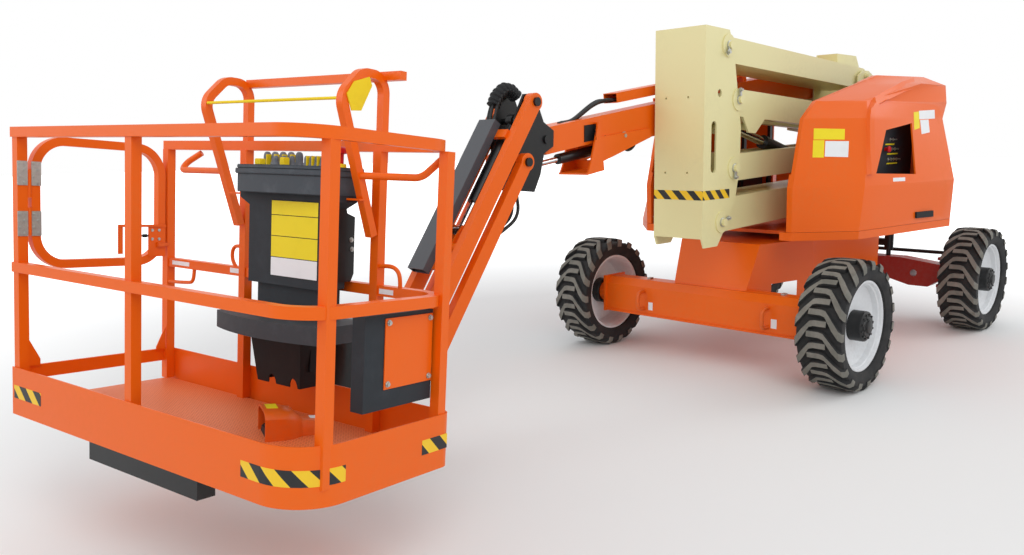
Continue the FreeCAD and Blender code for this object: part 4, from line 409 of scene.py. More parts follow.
def fastenerTree(name, parts):
    # Geometry Nodes: a stack of turned or hexagonal parts on every spot, faced by the spot's own direction
    tree = bpy.data.node_groups.new(name, "GeometryNodeTree")
    tree.interface.new_socket("Spots", in_out="INPUT", socket_type="NodeSocketGeometry")
    for label, sides, radius, height in parts:
        for word, value in ((" Radius", radius), (" Height", height)):
            socket = tree.interface.new_socket(label + word, in_out="INPUT", socket_type="NodeSocketFloat")
            socket.default_value = value
    tree.interface.new_socket("Finish", in_out="INPUT", socket_type="NodeSocketMaterial")
    tree.interface.new_socket("Geometry", in_out="OUTPUT", socket_type="NodeSocketGeometry")
    source = addNode(tree, "NodeGroupInput")
    joined = addNode(tree, "GeometryNodeJoinGeometry")
    height = None
    for label, sides, _, _ in parts:
        tall = source.outputs[label + " Height"]
        solid = addNode(tree, "GeometryNodeMeshCylinder", {"Vertices": sides, "Radius": source.outputs[label + " Radius"], "Depth": tall})
        middle = addNode(tree, "ShaderNodeMath", {0: tall, 1: 0.5}, operation="MULTIPLY").outputs[0]
        if height is not None:
            middle = addNode(tree, "ShaderNodeMath", {0: middle, 1: height}, operation="ADD").outputs[0]
        height = tall if height is None else addNode(tree, "ShaderNodeMath", {0: height, 1: tall}, operation="ADD").outputs[0]
        shift = addNode(tree, "ShaderNodeCombineXYZ", {2: middle})
        moved = addNode(tree, "GeometryNodeTransform", {"Geometry": solid.outputs["Mesh"], "Translation": shift.outputs[0]})
        tree.links.new(moved.outputs[0], joined.inputs[0])
    facing = addNode(tree, "GeometryNodeInputNamedAttribute", {"Name": "facing"}, data_type="FLOAT_VECTOR")
    turn = addNode(tree, "FunctionNodeAlignRotationToVector", {"Vector": facing.outputs[0]}, axis="Z")
    placed = addNode(tree, "GeometryNodeInstanceOnPoints", {"Points": source.outputs["Spots"], "Instance": joined.outputs[0], "Rotation": turn.outputs[0]})
    real = addNode(tree, "GeometryNodeRealizeInstances", {"Geometry": placed.outputs[0]})
    painted = addNode(tree, "GeometryNodeSetMaterial", {"Geometry": real.outputs[0], "Material": source.outputs["Finish"]})
    addNode(tree, "NodeGroupOutput", {0: painted.outputs[0]})
    return tree


def scatter(name, tree, spots, body, material, sizes=None, smooth=False):
    # spots are (place, direction) pairs; the tree's result becomes a plain mesh that rides on the body
    carrier = bpy.data.meshes.new(name)
    carrier.from_pydata([tuple(place) for place, _ in spots], [], [])
    facing = carrier.attributes.new("facing", "FLOAT_VECTOR", "POINT")
    for i, (_, direction) in enumerate(spots):
        facing.data[i].vector = Vector(direction).normalized()
    holder = bpy.data.objects.new(name + "Spots", carrier)
    bpy.context.collection.objects.link(holder)
    modifier = holder.modifiers.new("fasteners", "NODES")
    modifier.node_group = tree
    wanted = dict(sizes or {})
    wanted["Finish"] = material
    for item in tree.interface.items_tree:
        if item.item_type == "SOCKET" and item.in_out == "INPUT" and item.name in wanted:
            modifier[item.identifier] = wanted[item.name]
    made = bpy.data.meshes.new_from_object(holder.evaluated_get(bpy.context.evaluated_depsgraph_get()))
    holder.modifiers.remove(modifier)
    bpy.data.objects.remove(holder)
    made.name = name
    return finishPiece(name, made, body, material, smooth)


hexBolt = fastenerTree("hexBoltWithWasher", (("Washer", 20, 0.019, 0.003), ("Head", 6, 0.0125, 0.011)))
domeRivet = fastenerTree("roundRivet", (("Base", 14, 0.0075, 0.002), ("Crown", 14, 0.0055, 0.002)))

swingAxis = -1.9826  # the slewing axis along X


def fromAxis(x, y, z):
    # millimetres from the slewing axis on the ground
    return Vector((x / 1000 + swingAxis, y / 1000, z / 1000))


platformSeat = {"turnAxis": (4300, -170, 379), "tilt": 5.2, "yaw": 10.3, "shift": 0.137}
platformFrame = (Matrix.Translation(fromAxis(*platformSeat["turnAxis"]))
                 @ Matrix.Rotation(math.radians(-platformSeat["tilt"]), 4, "Y")
                 @ Matrix.Rotation(math.radians(platformSeat["yaw"]), 4, "Z")
                 @ Matrix.Translation((0, platformSeat["shift"], 0)))
boomSeat = {"pivot": (-650, -170, 2125), "slope": 8.3}
boomFrame = Matrix.Translation(fromAxis(*boomSeat["pivot"])) @ Matrix.Rotation(math.radians(boomSeat["slope"]), 4, "Y")


def platformSpot(x, y, z):
    return platformFrame @ Vector((x / 1000, y / 1000, z / 1000))


def boomSpot(x, y, z):
    return boomFrame @ Vector((x / 1000, y / 1000, z / 1000))

def blocksPiece(name, blocks, place, body, material, bevel=0.002, smooth=False):
    # several rounded blocks, each (low corner, high corner) in millimetres of the given frame, as one piece
    bm = bmesh.new()
    for low, high in blocks:
        addBlock(bm, [v / 1000 for v in low], [v / 1000 for v in high], place, bevel)
    return finishPiece(name, meshFrom(bm, name), body, material, smooth)


axisFrame = Matrix.Translation(fromAxis(0, 0, 0))


# The tyres' hockey-stick lugs cross the middle in turn from the left and the right.
treadLugs = {
    "count": 19, "thin": 23, "thick": 33, "chamfer": 5,
    # across, along the circumference, tip radius, root across, root radius, half thickness as a share
    "line": ((-62, 0, 427, -62, 397, 0.0), (18, 0, 427, 18, 397, 0.0), (46, -8, 426.6, 46, 397, 0.1), (98, -78, 424.5, 98, 395, 1.0),
             (138, -132, 419, 134, 388, 1.0), (154, -150, 397, 142, 384, 1.0), (154.6, -154, 366, 144, 362, 0.9)),
}
carcass = ((296.2, 116), (305, 134), (330, 145), (362, 148), (384, 147), (394, 138), (399, 112), (401, 0))
wheels = (
    # name, centre along X from the slewing axis, side
    ("fixed_left", 1220, 1), ("fixed_right", 1220, -1), ("steer_left", -1220, 1), ("steer_right", -1220, -1),
)
rimProfile = ((295.7, 121), (290, 123), (283, 121), (279, 113), (276, 101), (268, 95), (264, 62), (255, 55), (240, 51), (231, 47), (180, 46),
              (99, 46), (99, 34), (225, 34), (246, 36), (255, 20), (257, -60), (268, -95), (279, -113), (284, -121), (295.7, -121))
hubProfile = ((0, 161), (36, 161), (42, 158), (44, 151), (64, 149), (68, 141), (90, 138), (97, 132), (98.6, 124), (98.6, -26), (94, -30), (0, -30))


def makeTyre(name, centre, side):
    bm = bmesh.new()
    profile = [(radius, across) for radius, across in carcass] + [(radius, -across) for radius, across in carcass[-2::-1]]
    lying = Matrix.Rotation(math.radians(-90), 4, "X")
    addLathe(bm, profile, lying, 76)
    step = 2 * math.pi / treadLugs["count"]
    for hand, start in ((1, 0.0), (-1, step / 2)):
        for number in range(treadLugs["count"]):
            turn = start + number * step
            rings = []
            for across, along, tip, rootAcross, root, share in treadLugs["line"]:
                half = treadLugs["thin"] + (treadLugs["thick"] - treadLugs["thin"]) * share
                cut = treadLugs["chamfer"]
                ring = []
                for off, depth in ((-half - cut, 1), (-half, 0.16), (-half + cut, 0), (half - cut, 0), (half, 0.16), (half + cut, 1)):
                    radius = tip + (root - tip) * depth
                    out = across + (rootAcross - across) * depth
                    angle = turn + (along + off) / 427
                    ring.append(bm.verts.new((radius * math.cos(angle) / 1000, hand * out / 1000, radius * math.sin(angle) / 1000)))
                rings.append(ring)
            for a, b in zip(rings, rings[1:]):
                for i in range(5):
                    face = bm.faces.new((a[i], a[i + 1], b[i + 1], b[i]))
                    face.material_index = 1 if i == 2 else 0
            bm.faces.new(rings[0])
            bm.faces.new(rings[-1])
    bmesh.ops.transform(bm, matrix=Matrix.Translation(centre), verts=bm.verts)
    mesh = meshFrom(bm, name)
    mesh.materials.append(tyreRubber)
    mesh.materials.append(treadRubber)
    made = finishPiece("treadedTyre_" + name, mesh, "wheel_" + name, None, True)
    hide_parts("tyre_" + name)


for name, x, side in wheels:
    centre = fromAxis(x, 1015 * side, 427)
    makeTyre(name, centre, side)
    facing = Matrix.Translation(centre) @ Matrix.Rotation(math.radians(-90 * side), 4, "X")
    bm = bmesh.new()
    addLathe(bm, rimProfile, facing, 72)
    rim = finishPiece("dishedRim_" + name, meshFrom(bm, "rim" + name), "wheel_" + name, silverPaint, True)
    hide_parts("wheel_" + name)
    bm = bmesh.new()
    addLathe(bm, hubProfile, facing, 48)
    for i in range(12):
        turn = math.radians(30 * i + 15)
        spot = Vector((0.079 * math.cos(turn), 0.079 * math.sin(turn), 0))
        addRod(bm, spot + Vector((0, 0, 0.136)), spot + Vector((0, 0, 0.147)), 0.0075, 6, facing)
    for i in range(4):
        turn = math.radians(90 * i + 20)
        spot = Vector((0.054 * math.cos(turn), 0.054 * math.sin(turn), 0))
        addRod(bm, spot + Vector((0, 0, 0.147)), spot + Vector((0, 0, 0.155)), 0.006, 6, facing)
    addRod(bm, (0.196, -0.02, 0.044), (0.202, -0.02, 0.082), 0.009, 12, facing)
    finishPiece("driveHub_" + name, meshFrom(bm, "hub" + name), "wheel_" + name, blackPaint, True)
print("tyres and wheels made")


def tapeStrip(name, path, low, high, outward, toWorld, body):
    # a thin strip that follows path (x, y points in millimetres), with UVs in metres along it
    bm = bmesh.new()
    layer = bm.loops.layers.uv.new("UVMap")
    run = 0.0
    rings = []
    for i, (x, y) in enumerate(path):
        if i:
            run += math.hypot(x - path[i - 1][0], y - path[i - 1][1]) / 1000
        nx, ny = outward[i]
        edges = ((0.15, low), (1.0, low), (1.0, high), (0.15, high))
        rings.append([(bm.verts.new(toWorld(x + nx * off, y + ny * off, z)), (run, z / 1000)) for off, z in edges])
    faces = []
    for a, b in zip(rings, rings[1:]):
        for k in range(4):
            quad = (a[k], b[k], b[(k + 1) % 4], a[(k + 1) % 4])
            faces.append((bm.faces.new([item[0] for item in quad]), quad))
    for ring in (rings[0], rings[-1]):
        faces.append((bm.faces.new([item[0] for item in ring]), ring))
    for face, quad in faces:
        for loop, item in zip(face.loops, quad):
            loop[layer].uv = item[1]
    return finishPiece(name, meshFrom(bm, name), body, stripeTape)


toe = {"front": 1197, "half": 920, "corner": 190, "steps": 10, "low": 74, "high": 130}
bend = []
bendOut = []
for step in range(toe["steps"] + 1):
    angle = math.radians(90 * step / toe["steps"])
    bend.append((toe["front"] - toe["corner"] + toe["corner"] * math.cos(angle), toe["half"] - toe["corner"] + toe["corner"] * math.sin(angle)))
    bendOut.append((math.cos(angle), math.sin(angle)))
toeTapes = (
    ("toeStripeCorner", [(toe["front"], 635), *bend, (996, toe["half"])], [(1, 0), *bendOut, (0, 1)]),
    ("toeStripeLeft", [(toe["front"], -903), (toe["front"], -677)], [(1, 0), (1, 0)]),
    ("toeStripeRight", [(610, toe["half"]), (466, toe["half"])], [(0, 1), (0, 1)]),
)
for name, path, outward in toeTapes:
    tapeStrip(name, path, toe["low"], toe["high"], outward, platformSpot, "platform")
tapeStrip("uprightStripes", [(1838, -65), (1838, 315)], 1237, 1297, [(1, 0), (1, 0)], fromAxis, "tower_upright")
tapeStrip("uprightStripesSide", [(1838, 315), (1520, 315)], 1237, 1297, [(0, 1), (0, 1)], fromAxis, "tower_upright")
print("stripes laid")


# Platform, in its own frame: x outward, y along the front, z up.
bow = {"front": 690, "middle": 195, "half": 263, "depth": 28}


def bowedOutline(grow, rear, z):
    # the lid's plan, its front in an arc
    points = [(rear, bow["middle"] - bow["half"] - grow, z)]
    for i in range(17):
        share = -1 + i / 8
        points.append((bow["front"] + grow + bow["depth"] * (1 - share * share), bow["middle"] + share * (bow["half"] + grow), z))
    points.append((rear, bow["middle"] + bow["half"] + grow, z))
    return [Vector(point) / 1000 for point in points]


bm = bmesh.new()
for low, high, grow, rear in ((1011, 1087, 1.2, 485.3), (1086, 1108, 8, 479), (1108, 1124, 2.5, 484)):
    addPrism(bm, bowedOutline(grow, rear, low), (0, 0, (high - low) / 1000), platformFrame)
edges = [edge for edge in bm.edges if edge.calc_face_angle(0) > 0.6]
bmesh.ops.bevel(bm, geom=edges, offset=0.003, segments=2, affect="EDGES")
finishPiece("lidRim", meshFrom(bm, "lidRim"), "platform", lidPlastic, True)

dome = ((0, 92), (8, 91), (14, 86), (18, 76), (20, 60), (20, 30), (24, 18), (26, 4), (27, 0), (0, 0))
controls = (
    # along x, along y, size
    *((560, -40 + 50 * i, 1.0) for i in range(5)),
    (618, 85, 0.68), (618, 135, 0.68), (618, 184, 0.68),
    *((596, 246 + 31 * i, 0.72) for i in range(4)),
)
bm = bmesh.new()
for x, y, size in controls:
    addLathe(bm, [(r * size * 0.8, z * size * 0.66) for r, z in dome], platformFrame @ Matrix.Translation((x / 1000, y / 1000, 1.1235)), 20)
finishPiece("controlBoots", meshFrom(bm, "controlBoots"), "platform", greyRubber, True)
bm = bmesh.new()
for i in range(4):
    x = 560
    y = -15 + 50 * i
    addBlock(bm, ((x - 20) / 1000, (y - 5) / 1000, 1.124), ((x + 26) / 1000, (y + 5) / 1000, 1.172), platformFrame, 0.002)
for i in range(4):
    y = 261 + 31 * i
    addBlock(bm, (0.580, (y - 3) / 1000, 1.124), (0.612, (y + 3) / 1000, 1.166), platformFrame, 0.001)
addBlock(bm, (0.640, 0.010, 1.124), (0.668, 0.050, 1.150), platformFrame, 0.003)
addBlock(bm, (0.640, 0.165, 1.124), (0.668, 0.196, 1.156), platformFrame, 0.003)
finishPiece("switchGuards", meshFrom(bm, "switchGuards"), "platform", yellowPlastic)
button = ((0, 88), (24, 86), (33, 80), (36, 70), (34, 62), (16, 58), (16, 8), (0, 8))
bm = bmesh.new()
addLathe(bm, button, platformFrame @ Matrix.Translation((0.600, 0.438, 1.117)), 28)
finishPiece("stopButton", meshFrom(bm, "stopButton"), "platform", redPlastic, True)
bm = bmesh.new()
addLathe(bm, ((0, 14), (24, 14), (27, 11), (27, 0), (0, 0)), platformFrame @ Matrix.Translation((0.600, 0.438, 1.1235)), 28)
finishPiece("stopCollar", meshFrom(bm, "stopCollar"), "platform", yellowPlastic, True)

labelRows = (
    # piece, low, high, material, slot
    ("consoleLabelWhite", 678, 752, whiteVinyl, "grey_paint"),
    ("consoleLabelLow", 755, 838, yellowVinyl, "yellow_plastic"),
    ("consoleLabelMiddle", 841, 923, yellowVinyl, "yellow_plastic"),
    ("consoleLabelTop", 926, 982, yellowVinyl, "yellow_plastic"),
)
for name, low, high, material, slotName in labelRows:
    blocksPiece(name, [((665.15, 122, low), (666.2, 396, high))], platformFrame, "platform", material, 0.0003)
blocksPiece("labelBacking", [((665.05, 119, 675), (665.7, 399, 985))], platformFrame, "platform", blackPlastic, 0.0002)

# Pieces of the platform: orange bars under the lid, gussets and brackets, and the gate's zinc leaves.
blocksPiece("lidCarrier", [((560, -268, 998), (590, -66, 1006)), ((560, 456, 998), (590, 546, 1006)), ((530, 405, 998), (660, 450, 1006))],
            platformFrame, "platform", orangePaint)


def bolted(name, spots, body, tree=None, sizes=None, material=None):
    # a row of fasteners; each spot is (point, direction) in metres
    return scatter(name, tree or hexBolt, spots, body, material or zincSteel, sizes)


platformTurn = platformFrame.to_3x3()
leaves = (
    # name, body, along x, inner face, proud face
    ("gateLeaf", "gate", (1089, 1130), -879, -874),
    ("postLeaf", "platform", (1149, 1192), -871, -866),
)
leafLevels = ((777, 884), (993, 1096))
for name, body, (left, right), inner, proud in leaves:
    blocksPiece(name + "Plates", [((left, inner, low), (right, proud, high)) for low, high in leafLevels], platformFrame, body, zincSteel,
                0.0015)
    heads = [(platformSpot(left + (right - left) * (0.3 + 0.4 * (row % 2)), proud, low + 12 + 27 * row), platformTurn @ Vector((0, 1, 0)))
             for low, high in leafLevels for row in range(4)]
    bolted(name + "Rivets", heads, body, domeRivet)
blocksPiece("latchPlate", [((494, -879, 672), (586, -874, 821)), ((494, -873.9, 815), (738, -868, 827)), ((716, -879, 688), (740, -873, 826))],
            platformFrame, "gate", orangePaint, 0.0015)
blocksPiece("latchLever", [((500, -873.8, 718), (545, -860, 742)), ((478, -868, 722), (505, -861, 738))], platformFrame, "gate", castOrange,
            0.003)
bolted("latchRivets", [(platformSpot(x, -874, z), platformTurn @ Vector((0, 1, 0))) for x in (530, 566) for z in (757, 800)], "gate", domeRivet)
blocksPiece("latchKnob", [((588, -884, 765), (618, -870, 781)), ((584, -881, 768), (590, -873, 778))], platformFrame, "gate", blackPlastic,
            0.004)

anchorLoops = (
    # the harness anchors, each bent from the mid rail or a post
    ((470, -674, 630), (472, -673, 590), (476, -680, 563), (478, -700, 556), (478, -830, 548), (474, -884, 548)),
    ((470, -312, 754), (472, -350, 764), (474, -380, 742), (474, -382, 700), (472, -368, 672), (470, -350, 655)),
    ((470, 545, 740), (472, 600, 748), (474, 645, 735), (474, 662, 700), (472, 660, 655)),
)
mesh = tubeMesh("anchorLoops", [[platformSpot(*point) for point in route] for route in anchorLoops], 0.0085)
finishPiece("anchorLoops", mesh, "platform", orangePaint, True)
blocksPiece("railTags", [((480.2, -838, 634), (481.2, -700, 654)), ((480.2, -388, 634), (481.2, -322, 656)), ((480.2, 556, 632), (481.2, 632, 652))],
            platformFrame, "platform", whiteVinyl, 0.0002)

bm = bmesh.new()
for corners in (((1149, 209), (1149, 332), (1098, 236), (1098, 209)), ((490, 209), (490, 318), (538, 222), (538, 209))):
    addPrism(bm, [Vector((x, -884, z)) / 1000 for x, z in corners], (0, 0.006, 0), platformFrame)
finishPiece("postGussets", meshFrom(bm, "postGussets"), "platform", orangePaint)
bm = bmesh.new()
addPrism(bm, [Vector((x, 544, z)) / 1000 for x, z in ((676, 1395), (640, 1445), (560, 1472), (545, 1440), (600, 1340), (650, 1335))], (0, 0.004, 0),
         platformFrame)
finishPiece("hoopShield", meshFrom(bm, "hoopShield"), "platform", yellowPlastic)

blocksPiece("bookPlate", [((528, 877.1, 341), (783, 881, 596))], platformFrame, "platform", orangePaint, 0.001)
bolted("bookBolts", [(platformSpot(x, 881, z), platformTurn @ Vector((0, 1, 0))) for x in (545, 766) for z in (360, 580)], "platform",
       sizes={"Washer Radius": 0.011, "Head Radius": 0.008, "Head Height": 0.006})

# The foot switch: a cast hood with its mouth turned to the front left, a lower neck behind it.
footSeat = platformFrame @ Matrix.Translation((0.812, 0.262, 0.0603)) @ Matrix.Rotation(math.radians(-31), 4, "Z")


def hoodRing(x, half, low, high, shoulder):
    # a rounded arch across the hood, x behind the mouth
    points = [(x, -half, low), (x, -half, high - shoulder), (x, -half * 0.86, high - shoulder * 0.3), (x, -half * 0.55, high),
              (x, half * 0.55, high), (x, half * 0.86, high - shoulder * 0.3), (x, half, high - shoulder), (x, half, low)]
    return [Vector(point) / 1000 for point in points]


bm = bmesh.new()
outer = [hoodRing(-x, half, 0, high, shoulder) for x, half, high, shoulder in
         ((0, 101, 112, 26), (62, 99, 110, 24), (112, 88, 100, 22), (150, 52, 66, 16), (245, 50, 58, 12))]
innerRings = [hoodRing(-x, half, 0, high, shoulder) for x, half, high, shoulder in ((0, 93, 104, 22), (62, 91, 102, 20), (104, 80, 92, 18))]
shells = [[bm.verts.new(point) for point in ring] for ring in innerRings[::-1] + outer]
for a, b in zip(shells, shells[1:]):
    for i in range(7):
        bm.faces.new((a[i], a[i + 1], b[i + 1], b[i]))
bm.faces.new(shells[0])
bm.faces.new(shells[-1])
bmesh.ops.transform(bm, matrix=footSeat, verts=bm.verts)
foot = finishPiece("footSwitchHood", meshFrom(bm, "footSwitchHood"), "platform", castOrange, True)
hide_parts("foot_switch")
bm = bmesh.new()
addPrism(bm, [Vector((x, -0.074, z)) for x, z in ((-0.100, 0.001), (-0.100, 0.046), (-0.090, 0.050), (-0.012, 0.022), (-0.008, 0.001))], (0, 0.148, 0), footSeat)
for i in range(5):
    addBlock(bm, (-0.084 + 0.015 * i, -0.068, 0.0475 - 0.0054 * i), (-0.078 + 0.015 * i, 0.068, 0.0515 - 0.0054 * i), footSeat)
finishPiece("footPedal", meshFrom(bm, "footPedal"), "platform", blackPlastic)
blocksPiece("pedalLabelYellow", [((-60, -52, 110.2), (-16, 20, 111.6))], footSeat, "platform", yellowVinyl, 0.0002)
blocksPiece("pedalLabelWhite", [((-226, -20, 58.0), (-180, 20, 63.0))], footSeat, "platform", whiteVinyl, 0.0002)

bm = bmesh.new()
addPrism(bm, [Vector((x, 411, z)) / 1000 for x, z in ((662, 985), (540, 985), (529, 945), (486, 930), (486, 700), (502, 668), (662, 668))], (0, 0.005, 0),
         platformFrame)
finishPiece("consoleBracket", meshFrom(bm, "consoleBracket"), "platform", blackPaint)
bolted("bracketBolts", [(platformSpot(x, 416, z), platformTurn @ Vector((0, 1, 0))) for x, z in ((505, 838), (500, 800), (640, 940), (640, 740))],
       "platform", sizes={"Washer Radius": 0.010, "Head Radius": 0.007, "Head Height": 0.006})

# The tool box under the tray, tapered, with two half-round notches in its lower edge.
box = {"rear": 520, "front": 700, "middle": 195, "half": 153.5, "low": 233, "high": 439.6, "taper": 24, "notch": 24}


def boxFace(z):
    return box["front"] - box["taper"] * (box["high"] - z) / (box["high"] - box["low"])


def boxSide(z):
    return box["half"] - box["taper"] * (box["high"] - z) / (box["high"] - box["low"])


edge = [(-boxSide(box["high"]), box["high"]), (-boxSide(box["low"]), box["low"])]
for centre in (-38, 92):
    for step in range(9):
        turn = math.pi * step / 8
        edge.append((centre - box["notch"] * math.cos(turn), box["low"] + 1.6 * box["notch"] * math.sin(turn)))
edge += [(boxSide(box["low"]), box["low"]), (boxSide(box["high"]), box["high"])]
bm = bmesh.new()
addPrism(bm, [Vector((boxFace(z), box["middle"] + y, z)) / 1000 for y, z in edge], (-0.005, 0, 0), platformFrame)
for side in (-1, 1):
    wall = [(box["rear"], box["high"]), (box["rear"], box["low"]), (boxFace(box["low"]) - 5, box["low"]), (boxFace(box["high"]) - 5, box["high"])]
    addPrism(bm, [Vector((x, box["middle"] + side * boxSide(z), z)) / 1000 for x, z in wall], (0, -side * 0.005, 0), platformFrame)
addBlock(bm, (0.520, 0.047, 0.300), (0.640, 0.343, 0.4396), platformFrame)
addBlock(bm, (0.520, 0.068, 0.234), (0.526, 0.322, 0.300), platformFrame)
chest = finishPiece("mouldedToolBox", meshFrom(bm, "mouldedToolBox"), "platform", blackPlastic)
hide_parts("tool_box")
print("platform dressed")


# Chassis: tie-down loops, the front beam's lower lip and blank plates.
for name, y in (("left", -520), ("right", 520)):
    route = [fromAxis(x, y, z) for x, z in ((1331, 352), (1380, 350), (1406, 372), (1410, 418), (1406, 464), (1380, 486), (1331, 484))]
    mesh = tubeMesh("tieDown" + name, [route], 0.0145, 7)
    loop = finishPiece("tieDownLoop_" + name, mesh, "chassis", castOrange, True)
    if y < 0:
        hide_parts("tie_down_lugs")
blocksPiece("beamLip", [((1318, -884, 297), (1343, 884, 312))], axisFrame, "chassis", orangePaint, 0.003)
blocksPiece("beamPlates", [((1330.1, -478, 345), (1331, -438, 405)), ((1330.1, 545, 348), (1331, 588, 412))], axisFrame, "chassis", whiteVinyl,
            0.0002)
blocksPiece("beamClips", [((1190, -560, 565.2), (1240, -530, 577)), ((1190, 560, 565.2), (1240, 590, 577))], axisFrame, "chassis", zincSteel,
            0.003)

# The moulded hoods: the plain shells with their ridges rounded over.
ridge = {"width": 0.020, "steps": 3, "least": 9, "most": 62}
hoodSkins = {}
for body in ("hood_left", "hood_right"):
    bm = bmesh.new()
    bm.from_mesh(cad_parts[body].data)
    bmesh.ops.remove_doubles(bm, verts=bm.verts, dist=0.00001)
    bmesh.ops.dissolve_limit(bm, angle_limit=math.radians(1.0), verts=bm.verts, edges=bm.edges)
    folds = [edge for edge in bm.edges if ridge["least"] < math.degrees(edge.calc_face_angle(0)) < ridge["most"] and edge.calc_length() > 0.06]
    bmesh.ops.bevel(bm, geom=folds, offset=ridge["width"], segments=ridge["steps"], profile=0.5, affect="EDGES", clamp_overlap=True)
    bm.transform(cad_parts[body].matrix_world)
    skin = finishPiece("mouldedHood_" + body, meshFrom(bm, body + "Skin"), body, orangePaint, True)
    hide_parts(body)
    hoodSkins[body] = skin
print("hood folds rounded")

# The ground control station behind the left hood's window.
station = {"low": 1010, "high": 1740, "rear": -330, "front": 6}
blocksPiece("stationPanel", [((station["rear"], 730, station["low"]), (station["front"], 786, station["high"]))], axisFrame, "turntable", charcoalPlastic,
            0.006)
blocksPiece("stationStrips", [((-40, 790.2, 1490), (150, 792, 1500)), ((-40, 790.2, 1420), (150, 792, 1430)), ((30, 790.2, 1560), (190, 792, 1570))],
            axisFrame, "turntable", yellowVinyl, 0.0003)
switches = [(fromAxis(x, 790, z), Vector((0, 1, 0))) for x, z in ((-20, 1455), (30, 1455), (80, 1455), (130, 1455), (20, 1530), (75, 1530), (130, 1530),
                                                                 (60, 1600), (115, 1600))]
bolted("stationSwitches", switches, "turntable", domeRivet, {"Base Radius": 0.013, "Base Height": 0.006, "Crown Radius": 0.005, "Crown Height": 0.026})
stopFace = Matrix.Translation(fromAxis(190, 790, 1530)) @ Matrix.Rotation(math.radians(-90), 4, "X")
bm = bmesh.new()
addLathe(bm, ((0, 40), (18, 38), (24, 32), (24, 24), (14, 20), (14, 0), (0, 0)), stopFace, 24)
finishPiece("stationStop", meshFrom(bm, "stationStop"), "turntable", redPlastic, True)

# The near hood carries blank labels; a corner is given where it is seen, as shares of the frame's width and height.
facetLabels = (
    # name, corners, material, slot
    ("hoodLabelUpper", ((0.7947, 0.2411), (0.8250, 0.2422), (0.8247, 0.2605), (0.7944, 0.2604)), yellowVinyl, "yellow_plastic"),
    ("hoodLabelLeft", ((0.7940, 0.2616), (0.8050, 0.2616), (0.8043, 0.2919), (0.7934, 0.2915)), yellowVinyl, "yellow_plastic"),
    ("hoodLabelRight", ((0.8060, 0.2631), (0.8289, 0.2634), (0.8281, 0.2910), (0.8053, 0.2901)), whiteVinyl, "grey_paint"),
    ("windowLabel", ((0.8721, 0.3270), (0.8838, 0.3260), (0.8838, 0.3325), (0.8721, 0.3335)), whiteVinyl, "grey_paint"),
    ("rearLabelYellow", ((0.8922, 0.2130), (0.8972, 0.2118), (0.8980, 0.2405), (0.8928, 0.2438)), yellowVinyl, "yellow_plastic"),
    ("rearLabelUpper", ((0.8974, 0.2106), (0.9125, 0.2088), (0.9128, 0.2240), (0.8978, 0.2254)), whiteVinyl, "grey_paint"),
    ("rearLabelLower", ((0.8985, 0.2266), (0.9066, 0.2258), (0.9078, 0.2480), (0.9000, 0.2512)), whiteVinyl, "grey_paint"),
)


def sightLine(across, down, mirror=1):
    # the camera's eye and its direction through a place of the frame, mirrored for the other side
    view = bpy.context.scene.camera
    corner = view.data.view_frame(scene=bpy.context.scene)
    spot = corner[3].lerp(corner[0], across) + (corner[2] - corner[3]) * down
    flip = Vector((1, mirror, 1))
    return view.matrix_world.translation * flip, ((view.matrix_world.to_3x3() @ spot) * flip).normalized()


def layOnNode(name, node, corners, body, material, thick=0.0009, mirror=1, cells=7):
    # a thin plate that follows the node's faces behind these four corners
    part = hoodSkins.get(node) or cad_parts[node]
    left, right, lowRight, lowLeft = (Vector(corner) for corner in corners)
    bm = bmesh.new()
    layers = ([], [])
    for row in range(cells + 1):
        for column in range(cells + 1):
            place = left.lerp(right, column / cells).lerp(lowLeft.lerp(lowRight, column / cells), row / cells)
            eye, ahead = sightLine(place[0], place[1], mirror)
            found, hit, normal, _ = part.ray_cast(eye, ahead)
            if not found:
                raise RuntimeError("no face of " + node + " behind " + name)
            layers[0].append(bm.verts.new(hit - normal * 0.0004))
            layers[1].append(bm.verts.new(hit + normal * (thick + 0.0004)))
    wide = cells + 1
    for row in range(cells):
        for column in range(cells):
            start = row * wide + column
            for layer in layers:
                bm.faces.new([layer[i] for i in (start, start + 1, start + wide + 1, start + wide)])
    rim = [i for i in range(wide)] + [i * wide + cells for i in range(1, wide)]
    rim += [cells * wide + i for i in range(cells - 1, -1, -1)] + [i * wide for i in range(cells - 1, 0, -1)]
    for a, b in zip(rim, rim[1:] + rim[:1]):
        bm.faces.new((layers[0][a], layers[0][b], layers[1][b], layers[1][a]))
    return finishPiece(name, meshFrom(bm, name), body, material)


# The ridges that frame the window, each a pair of lines seen in the frame, as shares of its width and height.
hoodRidges = (
    # outer line, inner line, height in metres
    (((0.8460, 0.3220), (0.8455, 0.2290), (0.8470, 0.2070), (0.8520, 0.1890), (0.8600, 0.1800), (0.8790, 0.1620), (0.9000, 0.1480)),
     ((0.8520, 0.3200), (0.8515, 0.2300), (0.8530, 0.2140), (0.8565, 0.2020), (0.8640, 0.1950), (0.8800, 0.1800), (0.8990, 0.1680)), 0.026),
)


